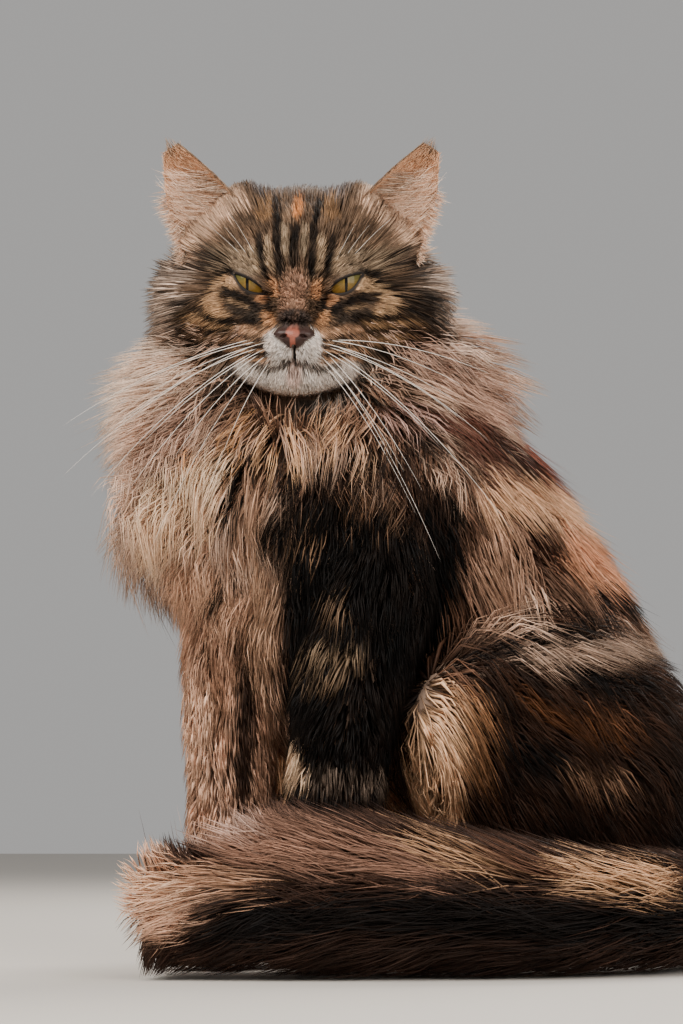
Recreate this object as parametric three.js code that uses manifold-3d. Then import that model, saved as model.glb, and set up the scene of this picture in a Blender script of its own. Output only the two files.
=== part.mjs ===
// A life-size still model of a seated long-haired cat with a ruff, tufted ears and a bushy tail
// laid round its feet. Millimetres, +Z up, the face towards -Y, the cat's left side towards +X.
import * as THREE from "three";
import { mergeVertices } from "three/addons/utils/BufferGeometryUtils.js";
import Module from "manifold-3d";

const wasm = await Module();
wasm.setup();
const { Manifold, Mesh: SolidMesh } = wasm;

const degrees = Math.PI / 180;
const at = (x, y, z) => new THREE.Vector3(x, y, z);
const ALONG_X = at(1, 0, 0);
const UP = at(0, 0, 1);

const GAP = 0.3; // kept between neighbouring pieces
const CORE_SHARE = 0.5; // the solid under long hair reaches this share of the coat short of its tips

// The head turns about the middle of the eyes. The chest and the hips stand over their own middles,
// each with a turn of its own, because the cat looks over its right shoulder.
const EYES = at(-23.5, -46, 366);
const HEAD_PITCH = 11 * degrees;
const HEAD_YAW = 2.5 * degrees;
const CHEST = { middle: at(-28.5, -54, 0), yaw: 30 * degrees };
const HIPS = { middle: at(105, 62, 0), yaw: 50 * degrees };

const EYE_APART = 25.6;
const EYE_RADIUS = 11.5;
const LID = 1.8;

const leftOf = (girdle) => at(Math.cos(girdle.yaw), -Math.sin(girdle.yaw), 0);
const forwardOf = (girdle) => at(-Math.sin(girdle.yaw), -Math.cos(girdle.yaw), 0);
// A place given as forward, to the left and up in a girdle's own turn.
const inGirdle = (girdle, forward, left, up) =>
  girdle.middle
    .clone()
    .addScaledVector(forwardOf(girdle), forward)
    .addScaledVector(leftOf(girdle), left)
    .addScaledVector(UP, up);

// The head's own frame: x to its left, -y out of the nose, z up.
const headTurn = new THREE.Matrix4()
  .makeTranslation(EYES.x, EYES.y, EYES.z)
  .multiply(new THREE.Matrix4().makeRotationX(HEAD_PITCH))
  .multiply(new THREE.Matrix4().makeRotationZ(-HEAD_YAW));
const headBack = headTurn.clone().invert();

const toSolid = (geometry) => {
  const bare = geometry.clone();
  bare.deleteAttribute("normal");
  bare.deleteAttribute("uv");
  const merged = mergeVertices(bare, 1e-4);
  const made = new Manifold(
    new SolidMesh({
      numProp: 3,
      vertProperties: new Float32Array(merged.attributes.position.array),
      triVerts: new Uint32Array(merged.index.array),
    }),
  );
  if (made.volume() < 0) throw new Error("a solid is inside out");
  return made;
};

const toGeometry = (solid) => {
  const mesh = solid.getMesh();
  return new THREE.BufferGeometry()
    .setAttribute("position", new THREE.BufferAttribute(new Float32Array(mesh.vertProperties), 3))
    .setIndex(new THREE.BufferAttribute(new Uint32Array(mesh.triVerts), 1));
};

const largest = (solid) => solid.decompose().reduce((a, b) => (a.volume() > b.volume() ? a : b));
const join = (solids) => Manifold.union(solids);

// Seeded draws, so that every build grows the same coat.
const draws = (seed) => {
  let state = seed;
  return (low, high) => {
    state = (state * 1664525 + 1013904223) % 4294967296;
    return low + ((high - low) * state) / 4294967296;
  };
};

// A unit ball wrapped onto a shape: place(t, round) gives the point at share t of the way from pole
// to pole and at the angle round it.
const wrap = (around, along, place) => {
  const geometry = new THREE.SphereGeometry(1, around, along);
  const points = geometry.attributes.position;
  for (let i = 0; i < points.count; i++) {
    const ring = Math.floor(i / (around + 1));
    const round = ((i % (around + 1)) % around) * ((2 * Math.PI) / around);
    const point = place((1 - Math.cos((Math.PI * ring) / along)) / 2, round);
    points.setXYZ(i, point.x, point.y, point.z);
  }
  return geometry;
};

const ball = (centre, radii, around, along, turn = new THREE.Matrix4()) => {
  const geometry = new THREE.SphereGeometry(1, around, along);
  geometry.scale(radii.x, radii.y, radii.z);
  geometry.applyMatrix4(turn);
  geometry.translate(centre.x, centre.y, centre.z);
  return toSolid(geometry);
};

// Catmull-Rom through the numbers, at share t of the way along.
const between = (numbers, t) => {
  const last = numbers.length - 1;
  const place = Math.min(Math.max(t, 0), 1) * last;
  const i = Math.min(Math.floor(place), last - 1);
  const f = place - i;
  const before = numbers[Math.max(i - 1, 0)];
  const after = numbers[Math.min(i + 2, last)];
  const [a, b] = [numbers[i], numbers[i + 1]];
  const bend = 2 * before - 5 * a + 4 * b - after;
  return a + 0.5 * f * (b - before + f * (bend + f * (3 * (a - b) + after - before)));
};

const STOPS = 24; // places along a spine at which a form's nearness is measured

// A body form: ellipse sections carried along a spine. Each station is [place, left, wide, high, coat],
// with left the direction of the wide half axis and coat the depth of fur inside wide and high.
const form = (stations, blunt = 3) => {
  const column = (i) => stations.map((station) => station[i]);
  const [places, lefts, coats] = [column(0), column(1), column(4)];
  const vector = (list, t) =>
    at(...["x", "y", "z"].map((axis) => between(list.map((v) => v[axis]), t)));
  const spine = (t) => vector(places, t);
  const frame = (t) => {
    const along = spine(Math.min(t + 0.01, 1)).sub(spine(Math.max(t - 0.01, 0))).normalize();
    const high = vector(lefts, t).cross(along).normalize();
    return { centre: spine(t), along, high, left: along.clone().cross(high) };
  };
  const radius = (i, t, grow) => {
    const full = between(column(i), t) + grow;
    return full * Math.pow(1 - Math.pow(Math.abs(2 * t - 1), blunt), 1 / blunt);
  };
  // The surface at a share of the coat's depth: 0 is the hair tips, 1 the skin.
  const point = (t, round, share = 0, grow = 0) => {
    const f = frame(t);
    const inward = grow - share * between(coats, t);
    const end = f.along.clone().multiplyScalar(inward * Math.sign(2 * t - 1) * Math.pow(2 * t - 1, 8));
    return f.centre
      .addScaledVector(f.left, radius(2, t, inward) * Math.cos(round))
      .addScaledVector(f.high, radius(3, t, inward) * Math.sin(round))
      .add(end);
  };
  const stops = Array.from({ length: STOPS + 1 }, (_, i) => {
    const t = 0.02 + (0.96 * i) / STOPS;
    return { ...frame(t), coat: between(coats, t), wide: radius(2, t, 0), tall: radius(3, t, 0) };
  });
  // How far a place lies outside the surface, close enough for bending locks clear of it.
  const away = (place, share = 0) => {
    const stop = stops.reduce((a, b) =>
      place.distanceToSquared(a.centre) < place.distanceToSquared(b.centre) ? a : b,
    );
    const from = place.clone().sub(stop.centre);
    const wide = stop.wide - share * stop.coat;
    const tall = stop.tall - share * stop.coat;
    const past = from.dot(stop.along) / Math.min(wide, tall);
    return (Math.hypot(from.dot(stop.left) / wide, from.dot(stop.high) / tall, past) - 1) * Math.min(wide, tall);
  };
  return { point, away };
};

const formSolid = (shape, around, along, grow, share) =>
  toSolid(wrap(around, along, (t, round) => shape.point(t, round, share, grow)));

const chestLeft = leftOf(CHEST);
const hipLeft = leftOf(HIPS);
const midLeft = chestLeft.clone().lerp(hipLeft, 0.5);

const trunk = form(
  [
    [at(-16, 14, 330), chestLeft, 52, 46, 20],
    [at(8, 12, 272), chestLeft, 86, 80, 24],
    [at(48, 30, 218), midLeft, 92, 88, 24],
    [at(84, 50, 162), hipLeft, 96, 90, 24],
    [at(112, 68, 104), hipLeft, 96, 84, 24],
    [at(130, 82, 44), hipLeft, 84, 66, 24],
  ],
  4,
);
const chest = form([
  [at(-18, 2, 300), chestLeft, 66, 56, 20],
  [at(-23, -18, 245), chestLeft, 80, 62, 30],
  [at(-22, -28, 195), chestLeft, 74, 56, 30],
  [at(-17, -28, 150), chestLeft, 58, 44, 26],
  [at(-9, -20, 112), chestLeft, 38, 30, 18],
]);
const neck = form([
  [at(-22, 40, 384), ALONG_X, 64, 46, 18],
  [at(-19, 28, 340), ALONG_X, 107, 60, 36],
  [at(-17, 4, 296), ALONG_X, 119, 80, 46],
  [at(-21, -14, 250), ALONG_X, 113, 82, 48],
  [at(-30, -28, 204), ALONG_X, 76, 66, 38],
  [at(-31, -36, 166), ALONG_X, 44, 44, 30],
]);

const foreleg = (sign) =>
  form(
    [
      [inGirdle(CHEST, -42, sign * 38, 246), chestLeft, 26, 28, 12],
      [inGirdle(CHEST, -22, sign * 40, 200), chestLeft, 35, 40, 16],
      [inGirdle(CHEST, -2, sign * 36, 145), chestLeft, 31, 34, 14],
      [inGirdle(CHEST, 4, sign * 32, 95), chestLeft, 27, 28, 10],
      [inGirdle(CHEST, 6, sign * 32, 50), chestLeft, 26, 26, 8],
      [inGirdle(CHEST, 8, sign * 32, 8), chestLeft, 25, 25, 8],
    ],
    8,
  );
const forepaw = (sign) =>
  form(
    [
      [inGirdle(CHEST, -18, sign * 32, 18), chestLeft, 22, 18, 6],
      [inGirdle(CHEST, 12, sign * 32, 20), chestLeft, 27, 22, 6],
      [inGirdle(CHEST, 44, sign * 33, 12), chestLeft, 24, 14, 6],
    ],
    2.4,
  );
const haunch = (sign) =>
  form(
    [
      [inGirdle(HIPS, 130, sign * 60, 92), hipLeft, 34, 58, 16],
      [inGirdle(HIPS, 100, sign * 62, 104), hipLeft, 42, 84, 20],
      [inGirdle(HIPS, 46, sign * 66, 106), hipLeft, 50, 94, 24],
      [inGirdle(HIPS, -10, sign * 62, 92), hipLeft, 50, 86, 24],
      [inGirdle(HIPS, -60, sign * 44, 74), hipLeft, 42, 62, 20],
    ],
    3.2,
  );
const hindpaw = (sign) =>
  form([
    [inGirdle(HIPS, 20, sign * 78, 18), hipLeft, 20, 18, 8],
    [inGirdle(HIPS, 90, sign * 76, 22), hipLeft, 26, 24, 8],
    [inGirdle(HIPS, 146, sign * 72, 12), hipLeft, 24, 14, 6],
  ]);

// Grooves between the toes, cut into the front of a paw.
const TOE = { apart: 12, wide: 1.6, long: 13, deep: 15 };
const toeGrooves = (girdle, forward, left) =>
  join(
    [-1, 0, 1].map((k) =>
      ball(
        inGirdle(girdle, forward, left + k * TOE.apart, 14),
        at(TOE.wide, TOE.long, TOE.deep),
        4,
        5,
        new THREE.Matrix4().makeRotationZ(-girdle.yaw),
      ),
    ),
  );

// [place, half thickness with the hair, half thickness without it] from the rump to the tip.
const TAIL = [
  [at(150, 104, 54), 24, 13],
  [at(186, 72, 36), 29, 13],
  [at(200, 16, 32), 31, 13],
  [at(192, -46, 31), 31, 12],
  [at(158, -100, 32), 32, 12],
  [at(102, -133, 34), 35, 11],
  [at(36, -147, 39), 40, 11],
  [at(-24, -150, 43), 43, 10],
  [at(-66, -147, 42), 40, 8],
  [at(-93, -142, 39), 27, 6],
  [at(-105, -139, 37), 9, 3],
];
const tail = form(
  TAIL.map(([place, furred, bare]) => [place, UP, furred, furred, furred - bare]),
  7,
);

// The head is worked out from blended forms: the surface is where their blend is zero, found along
// rays from a middle that sees all of it. Each is [place, half sizes, depth of fur].
const HEAD_MIDDLE = at(0, 14, -8);
const HEAD_BLEND = 9;
const both = (x, y, z, rx, ry, rz, coat) => [
  [at(x, y, z), at(rx, ry, rz), coat],
  [at(-x, y, z), at(rx, ry, rz), coat],
];
const SOFT_FORMS = [
  [at(0, 42, 12), at(50, 50, 43), 9], // cranium
  [at(0, 10, 17), at(36, 26, 26), 5], // forehead
  ...both(30, 30, 34, 19, 20, 23, 7), // ear bases
  ...both(42, 32, 18, 26, 26, 24, 10), // temples
  ...both(21, 0, 13, 14, 11, 8, 3), // brows
  ...both(34, 10, -14, 20, 19, 16, 4), // cheekbones
  ...both(47, 32, -8, 31, 30, 29, 16), // cheek fur
  ...both(34, 20, -36, 29, 30, 21, 14), // jowls
  ...both(18, -4, -20, 15, 18, 13, 3), // upper jaw
  [at(0, -3, -1), at(13, 18, 12), 3], // upper bridge of the nose
  [at(0, -20, -13), at(10.5, 20, 11), 3], // lower bridge
  [at(0, -14, -34), at(31, 25, 14), 4], // muzzle
  [at(0, -10, -46), at(30, 23, 14), 6], // lower jaw
];
const CRISP_BLEND = 3.5;
const CRISP_FORMS = [
  ...both(EYE_APART, 0, 0, EYE_RADIUS + LID, EYE_RADIUS + LID, EYE_RADIUS + LID, 0), // lids
  ...both(13, -30, -33.5, 15.5, 12.5, 10.5, 3), // whisker pads
  [at(0, -39, -26.5), at(11, 6, 6.5), 0], // nose leather
  [at(0, -22, -51), at(17, 15.5, 9.5), 4], // chin
];
const SHORT_FUR = 9; // shallower fur than this has no core of its own
const awayFrom = (point, [centre, radii, coat], share) => {
  const inset = coat > SHORT_FUR ? coat * share : 0;
  const [a, b, c] = [radii.x - inset, radii.y - inset, radii.z - inset];
  const [x, y, z] = [point.x - centre.x, point.y - centre.y, point.z - centre.z];
  const k = Math.hypot(x / a, y / b, z / c);
  return k < 0.001 ? -Math.min(a, b, c) : (k * (k - 1)) / Math.hypot(x / a / a, y / b / b, z / c / c);
};
const blended = (point, forms, blend, share, start) =>
  forms.reduce((nearest, piece) => {
    const here = awayFrom(point, piece, share);
    const near = Math.max(blend - Math.abs(nearest - here), 0) / blend;
    return Math.min(nearest, here) - (near * near * blend) / 4;
  }, start);
const headAway = (point, share) =>
  blended(point, CRISP_FORMS, CRISP_BLEND, share, blended(point, SOFT_FORMS, HEAD_BLEND, share, 1e3));
const HEAD_FAR = 130;
const HEAD_STEP = 1.5;
const HALVINGS = 8;
const reachInto = (from, direction, start, share) => {
  const outside = (reach) => headAway(from.clone().addScaledVector(direction, reach), share) > 0;
  let far = start;
  while (far > 0 && outside(far - HEAD_STEP)) far -= HEAD_STEP;
  let near = far - HEAD_STEP;
  for (let i = 0; i < HALVINGS; i++) {
    const middle = (near + far) / 2;
    if (outside(middle)) far = middle;
    else near = middle;
  }
  return near;
};
// The rays fan out round the line to the nose, so that the finest facets lie on the muzzle.
const toNose = new THREE.Quaternion().setFromUnitVectors(at(0, -1, 0), at(0, -55, -19).normalize());
const headPoint = (polar, round, share, grow = 0) => {
  const direction = at(
    Math.sin(polar) * Math.cos(round),
    -Math.cos(polar),
    Math.sin(polar) * Math.sin(round),
  ).applyQuaternion(toNose);
  const reach = reachInto(HEAD_MIDDLE, direction, HEAD_FAR, share) + grow;
  return HEAD_MIDDLE.clone().addScaledVector(direction, reach);
};
const FACE_DETAIL = 1.35; // above 1 the rings crowd onto the face
const headSolid = (around, along, grow) => {
  const geometry = wrap(around, along, (t, round) => {
    const share = Math.acos(1 - 2 * t) / Math.PI;
    return headPoint(Math.PI * Math.pow(share, FACE_DETAIL), round, CORE_SHARE, grow);
  });
  geometry.applyMatrix4(headTurn);
  return toSolid(geometry);
};
// The face's surface straight behind a place seen from the front.
const onFace = (x, z) => at(x, 40 - reachInto(at(x, 40, z), at(0, -1, 0), 110, 0), z);

// The line of the mouth: down from the nose, then out under each whisker pad.
const MOUTH = [
  [0, -33.5],
  [0, -37],
  [0, -40.5],
  [4, -43],
  [9, -45.2],
  [14, -46.2],
  [19, -45.6],
  [23, -43.4],
];
const MOUTH_RADIUS = 1.15;
const mouthSolid = (sign) => {
  const places = MOUTH.map(([x, z]) => onFace(sign * x, z));
  const axis = (name, t) => between(places.map((place) => place[name]), t);
  const centre = (t) => at(axis("x", t), axis("y", t) + 0.3, axis("z", t));
  const geometry = wrap(4, 12, (t, round) => {
    const ends = Math.pow(1 - Math.pow(Math.abs(2 * t - 1), 6), 1 / 6);
    const along = centre(Math.min(t + 0.02, 1)).sub(centre(Math.max(t - 0.02, 0))).normalize();
    const side = along.clone().cross(at(0, -1, 0)).normalize();
    const deep = side.clone().cross(along);
    return centre(t)
      .addScaledVector(side, MOUTH_RADIUS * ends * Math.cos(round))
      .addScaledVector(deep, 1.6 * MOUTH_RADIUS * ends * Math.sin(round));
  });
  geometry.applyMatrix4(headTurn);
  return toSolid(geometry);
};
const NOSTRIL = { x: 5.6, z: -27.2, wide: 2.6, deep: 3.2, high: 1.5, slant: 24 * degrees };
const nostrilSolid = (sign) => {
  const turn = headTurn.clone().setPosition(0, 0, 0);
  turn.multiply(new THREE.Matrix4().makeRotationY(sign * NOSTRIL.slant));
  const place = onFace(sign * NOSTRIL.x, NOSTRIL.z).applyMatrix4(headTurn);
  return ball(place, at(NOSTRIL.wide, NOSTRIL.deep, NOSTRIL.high), 6, 5, turn);
};

const eyeMiddle = (sign) => at(sign * EYE_APART, 0, 0).applyMatrix4(headTurn);
const eyeSolid = (sign, grow) => {
  const radius = EYE_RADIUS + grow;
  return ball(eyeMiddle(sign), at(radius, radius, radius), 12, 8);
};

// The opening between the lids: an almond, straighter along its upper edge and higher at its outer
// corner, carried forward out of the face.
const OPENING = { inner: -11, outer: 10.5, above: 2.2, below: 5.2, slant: 29 * degrees, reach: 40 };
const OPENING_STEPS = 8;
const openingSolid = (sign) => {
  const edge = (height, shares) => shares.map((share) => [share, Math.sin(Math.PI * share) * height]);
  const shares = Array.from({ length: OPENING_STEPS + 1 }, (_, i) => i / OPENING_STEPS);
  const outline = [
    ...edge(OPENING.above, shares),
    ...edge(-OPENING.below, shares.slice(1, -1).reverse()),
  ];
  const [cos, sin] = [Math.cos(OPENING.slant), Math.sin(OPENING.slant)];
  const shape = new THREE.Shape(
    outline.map(([share, up]) => {
      const x = OPENING.inner + share * (OPENING.outer - OPENING.inner);
      return new THREE.Vector2(sign * (EYE_APART + x * cos - up * sin), x * sin + up * cos);
    }),
  );
  const geometry = new THREE.ExtrudeGeometry(shape, { depth: OPENING.reach, bevelEnabled: false });
  geometry.rotateX(90 * degrees);
  geometry.applyMatrix4(headTurn);
  return toSolid(geometry);
};

// An ear is a sheet between its inner and outer edge, hollowed backwards into a cup.
const EAR = {
  innerBase: at(28, 16, 40),
  outerBase: at(66, 24, 20),
  innerTip: at(68, 26, 77),
  outerTip: at(75.5, 27, 72),
  bulge: 20,
  thick: 3.6,
  rootUp: -0.22, // the sheet begins this share of its height below the head's surface
  topUp: 0.97,
};
// across runs from -1 at the inner edge to 1 at the outer, up from 0 at the base to 1 at the tip.
const earPoint = (across, up, back) => {
  const above = Math.max(up, 0);
  const inner = EAR.innerBase.clone().lerp(EAR.innerTip, up);
  const outer = EAR.outerBase.clone().lerp(EAR.outerTip, up);
  outer.x += 3 * Math.sin(Math.PI * above);
  inner.z += 2 * Math.sin(Math.PI * above);
  const point = inner.lerp(outer, (across + 1) / 2);
  point.y += EAR.bulge * (1 - Math.pow(above, 1.5)) * (1 - Math.min(across * across, 1)) + back;
  return point;
};
const placed = (geometry, sign) => {
  geometry.scale(sign, 1, 1);
  if (sign < 0) {
    const index = geometry.index;
    for (let i = 0; i < index.count; i += 3) {
      const kept = index.getX(i + 1);
      index.setX(i + 1, index.getX(i + 2));
      index.setX(i + 2, kept);
    }
  }
  geometry.applyMatrix4(headTurn);
  return toSolid(geometry);
};
const EAR_COLUMNS = 7;
const EAR_ROWS = 6;
const earSolid = (sign, grow) => {
  const points = [];
  for (const back of [0, 1]) {
    for (let j = 0; j <= EAR_ROWS; j++) {
      for (let i = 0; i <= EAR_COLUMNS; i++) {
        const across = (2 * i) / EAR_COLUMNS - 1;
        const up = EAR.rootUp + (EAR.topUp - EAR.rootUp) * (j / EAR_ROWS);
        const thick = EAR.thick * (1 - 0.55 * Math.max(up, 0));
        points.push(earPoint(across * (1 + grow / 20), up, back ? thick + grow : -grow));
      }
    }
  }
  const index = [];
  const wide = EAR_COLUMNS + 1;
  const sheet = wide * (EAR_ROWS + 1);
  const quad = (a, b, c, d) => index.push(a, b, c, a, c, d);
  for (let j = 0; j < EAR_ROWS; j++) {
    for (let i = 0; i < EAR_COLUMNS; i++) {
      const k = j * wide + i;
      quad(k, k + 1, k + wide + 1, k + wide);
      quad(sheet + k, sheet + k + wide, sheet + k + wide + 1, sheet + k + 1);
    }
    const [low, high] = [j * wide, (j + 1) * wide];
    quad(low, high, sheet + high, sheet + low);
    quad(low + EAR_COLUMNS, sheet + low + EAR_COLUMNS, sheet + high + EAR_COLUMNS, high + EAR_COLUMNS);
  }
  for (let i = 0; i < EAR_COLUMNS; i++) {
    quad(i, sheet + i, sheet + i + 1, i + 1);
    const k = EAR_ROWS * wide + i;
    quad(k, k + 1, sheet + k + 1, sheet + k);
  }
  const geometry = new THREE.BufferGeometry().setFromPoints(points);
  geometry.setIndex(index);
  return placed(geometry, sign);
};

// A lock is a flat tapered blade: diamond sections along a path, ending in a point. The path gives
// each section's middle and the direction out of the coat there.
const BLADE = [
  { s: 0, wide: 0.8, thick: 1 },
  { s: 0.34, wide: 1, thick: 1 },
  { s: 0.68, wide: 0.72, thick: 0.8 },
];
const TIP_GROWTH = 4; // a grown copy's point stands this many gaps past the lock's own
const lockGeometry = (path, wide, thick, grow) => {
  const middles = BLADE.map(({ s }) => path(s));
  const tip = path(1);
  const points = [];
  middles.forEach(({ place, out }, i) => {
    const next = (middles[i + 1] ?? tip).place;
    const last = (middles[i - 1] ?? middles[i]).place;
    const along = next.clone().sub(last).normalize();
    const side = along.clone().cross(out).normalize();
    const face = side.clone().cross(along);
    const w = wide * BLADE[i].wide + grow;
    const h = thick * BLADE[i].thick + grow;
    const middle = place.clone().addScaledVector(along, i === 0 ? -grow : 0);
    points.push(middle.clone().addScaledVector(side, w), middle.clone().addScaledVector(face, h));
    points.push(middle.clone().addScaledVector(side, -w), middle.clone().addScaledVector(face, -h));
  });
  const end = tip.place.clone().sub(middles[middles.length - 1].place).normalize();
  points.push(tip.place.clone().addScaledVector(end, TIP_GROWTH * grow));
  const index = [0, 1, 2, 0, 2, 3];
  const rings = BLADE.length;
  for (let ring = 0; ring < rings; ring++) {
    for (let k = 0; k < 4; k++) {
      const [a, b] = [4 * ring + k, 4 * ring + ((k + 1) % 4)];
      if (ring === rings - 1) index.push(a, 4 * rings, b);
      else index.push(a, b + 4, b, a, a + 4, b + 4);
    }
  }
  const geometry = new THREE.BufferGeometry().setFromPoints(points);
  geometry.setIndex(index);
  return geometry;
};

// Bodies that a lock of another node bends clear of, each with how far a place lies outside it.
const inHeadFrame = (place) => place.clone().applyMatrix4(headBack);
const bodies = {
  head: [{ away: (place, share) => headAway(inHeadFrame(place), share) }],
  neck: [neck],
  torso: [trunk, chest],
  foreleg_left: [foreleg(1), forepaw(1)],
  foreleg_right: [foreleg(-1), forepaw(-1)],
  hindleg_left: [haunch(1), hindpaw(1)],
  hindleg_right: [haunch(-1), hindpaw(-1)],
  tail: [tail],
};
const PROBE = 1;
const outOf = (body, place, share) => {
  const here = body.away(place, share);
  const slope = (step) => body.away(place.clone().add(step), share) - here;
  return at(slope(at(PROBE, 0, 0)), slope(at(0, PROBE, 0)), slope(at(0, 0, PROBE))).normalize();
};
const FLOOR_CLEAR = 1;
const bendClear = (owner, place, room) => {
  const clear = place.clone();
  for (const [name, shapes] of Object.entries(bodies)) {
    if (name === owner) continue;
    for (const body of shapes) {
      const lacking = room - body.away(clear, CORE_SHARE);
      if (lacking > 0) clear.addScaledVector(outOf(body, clear, CORE_SHARE), lacking);
    }
  }
  clear.z = Math.max(clear.z, FLOOR_CLEAR + room / 2);
  return clear;
};
const COVER = 6; // a root this deep in another body's coat grows no lock
const covered = (owner, place) =>
  Object.entries(bodies).some(
    ([name, shapes]) => name !== owner && shapes.some((body) => body.away(place, 0) < -COVER),
  );

// Locks set in rows round a body form. A plan's rows are [t, how many], between the angles from and
// to; long and turn are in the form's own shares and angles; lift throws the tips off the coat.
const ROOT_SHARE = 0.7; // a root starts this deep in the coat, inside the core
const ROOT_CURVE = 2.4; // how soon a lock comes out of the core
const LAST = 0.985;
const vary = (draw, spread) => draw(1 - spread, 1 + spread);
const lockAlong = (owner, pointAt, wide, thick, lift) => {
  const path = (s) => {
    const share = ROOT_SHARE * Math.pow(1 - s, ROOT_CURVE) - lift * s * s;
    const place = pointAt(s, share);
    const out = place.clone().sub(pointAt(s, share + 0.25)).normalize();
    const rooted = s < 0.2;
    return { place: rooted ? place : bendClear(owner, place, thick + 2 * GAP), out };
  };
  return (grow) => toSolid(lockGeometry(path, wide, thick, grow));
};
const coatOf = (owner, shape, plan, seed) => {
  const draw = draws(seed);
  const locks = [];
  for (const [row, count] of plan.rows) {
    for (let k = 0; k < count; k++) {
      const round = plan.from + ((plan.to - plan.from) * (k + draw(0.25, 0.75))) / count;
      const t = row + draw(-0.015, 0.015);
      const long = plan.long * vary(draw, 0.15);
      const turn = -plan.droop * Math.cos(round) * vary(draw, 0.4) + draw(-0.08, 0.08);
      const wide = plan.wide * vary(draw, 0.12);
      const lift = plan.lift * vary(draw, 0.8);
      const root = shape.point(t, round, CORE_SHARE);
      if (covered(owner, root) || root.z < plan.thick) continue;
      const pointAt = (s, share) => shape.point(Math.min(t + long * s, LAST), round + turn * s, share);
      locks.push(lockAlong(owner, pointAt, wide, plan.thick, lift));
    }
  }
  return locks;
};

const FULL = 2 * Math.PI;
const coats = {
  neck: coatOf(
    "neck",
    neck,
    {
      rows: [[0.1, 6], [0.26, 8], [0.42, 9], [0.57, 7], [0.72, 5]],
      from: 0, to: FULL, long: 0.28, droop: 0, wide: 22, thick: 3, lift: 0.18,
    },
    11,
  ),
  torso: [
    ...coatOf(
      "torso",
      trunk,
      {
        rows: [[0.17, 5], [0.35, 6], [0.53, 6], [0.71, 5]],
        from: -0.8, to: Math.PI + 0.5, long: 0.22, droop: 0.25, wide: 22, thick: 3, lift: 0.15,
      },
      12,
    ),
    ...coatOf(
      "torso",
      chest,
      {
        rows: [[0.42, 4], [0.66, 4]],
        from: -Math.PI, to: 0, long: 0.3, droop: 0, wide: 15, thick: 3, lift: 0.15,
      },
      13,
    ),
  ],
};
const SIDES = { left: 1, right: -1 };
for (const [side, sign] of Object.entries(SIDES)) {
  const outer = sign > 0 ? 0 : Math.PI;
  coats[`foreleg_${side}`] = coatOf(
    `foreleg_${side}`,
    foreleg(sign),
    {
      rows: [[0.06, 4], [0.24, 4], [0.42, 3]],
      from: outer - Math.PI / 2, to: outer + (sign > 0 ? Math.PI : Math.PI / 2),
      long: 0.26, droop: 0, wide: 10, thick: 2.2, lift: 0.3,
    },
    20 + sign,
  );
  coats[`hindleg_${side}`] = coatOf(
    `hindleg_${side}`,
    haunch(sign),
    {
      rows: [[0.12, 3], [0.34, 4], [0.56, 4], [0.77, 3]],
      from: sign > 0 ? -0.9 : Math.PI / 2 - 0.3, to: sign > 0 ? Math.PI / 2 + 0.3 : Math.PI + 0.9,
      long: 0.3, droop: 0.3, wide: 17, thick: 2.8, lift: 0.18,
    },
    30 + sign,
  );
}
const TAIL_ROWS = 7;
const TAIL_ROUND = 4;
const TAIL_TURN = 2.4; // how far one row is turned on from the last
const tailRows = Array.from({ length: TAIL_ROWS }, (_, i) => 0.04 + (0.72 * i) / (TAIL_ROWS - 1));
// The tail is parted into lengths by planes across it: each is [normal, how far along it].
const PARTINGS = [
  [at(0, -1, 0), -40],
  [at(-0.6, -0.8, 0), -38],
  [at(-1, 0, 0), -60],
];
const TAIL_LENGTHS = ["tail_base", "tail_bend", "tail_middle", "tail_tip"];
const lengthAt = (place) => {
  const passed = PARTINGS.findIndex(([normal, offset]) => place.dot(normal) < offset);
  return TAIL_LENGTHS[passed < 0 ? PARTINGS.length : passed];
};
const tailLength = (solid, name, grow) => {
  const i = TAIL_LENGTHS.indexOf(name);
  const margin = GAP / 2 - grow;
  let piece = solid;
  if (i > 0) {
    const [normal, offset] = PARTINGS[i - 1];
    piece = piece.trimByPlane(normal.toArray(), offset + margin);
  }
  if (i < PARTINGS.length) {
    const [normal, offset] = PARTINGS[i];
    piece = piece.trimByPlane(normal.clone().negate().toArray(), margin - offset);
  }
  return piece;
};
for (const name of TAIL_LENGTHS) coats[name] = [];
tailRows.forEach((row, i) => {
  const plan = {
    rows: [[row, TAIL_ROUND]], from: i * TAIL_TURN, to: i * TAIL_TURN + FULL,
    long: 0.19, droop: 0, wide: i < TAIL_ROWS - 1 ? 19 : 14, thick: 3, lift: 0.15,
  };
  const name = lengthAt(tail.point(row + plan.long / 5, 0, 1));
  coats[name].push(...coatOf("tail", tail, plan, 50 + i));
});

// Cheek locks stand out from the side of the face and hang towards the ruff.
const CHEEK = {
  rows: [1.35, 1.75],
  rounds: [0.3, -0.2, -0.7],
  back: 0.4,
  down: -0.45,
  wide: 10,
  thick: 2,
  lift: 0.6,
};
coats.head = [];
for (const sign of Object.values(SIDES)) {
  const draw = draws(40 + sign);
  for (const polar of CHEEK.rows) {
    for (const height of CHEEK.rounds) {
      const from = height + draw(-0.06, 0.06);
      const back = CHEEK.back * vary(draw, 0.2);
      const pointAt = (s, share) => {
        const round = from + CHEEK.down * s;
        const place = headPoint(polar + back * s, sign > 0 ? round : Math.PI - round, share);
        return place.applyMatrix4(headTurn);
      };
      coats.head.push(lockAlong("head", pointAt, CHEEK.wide, CHEEK.thick, CHEEK.lift * vary(draw, 0.5)));
    }
  }
}

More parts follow.
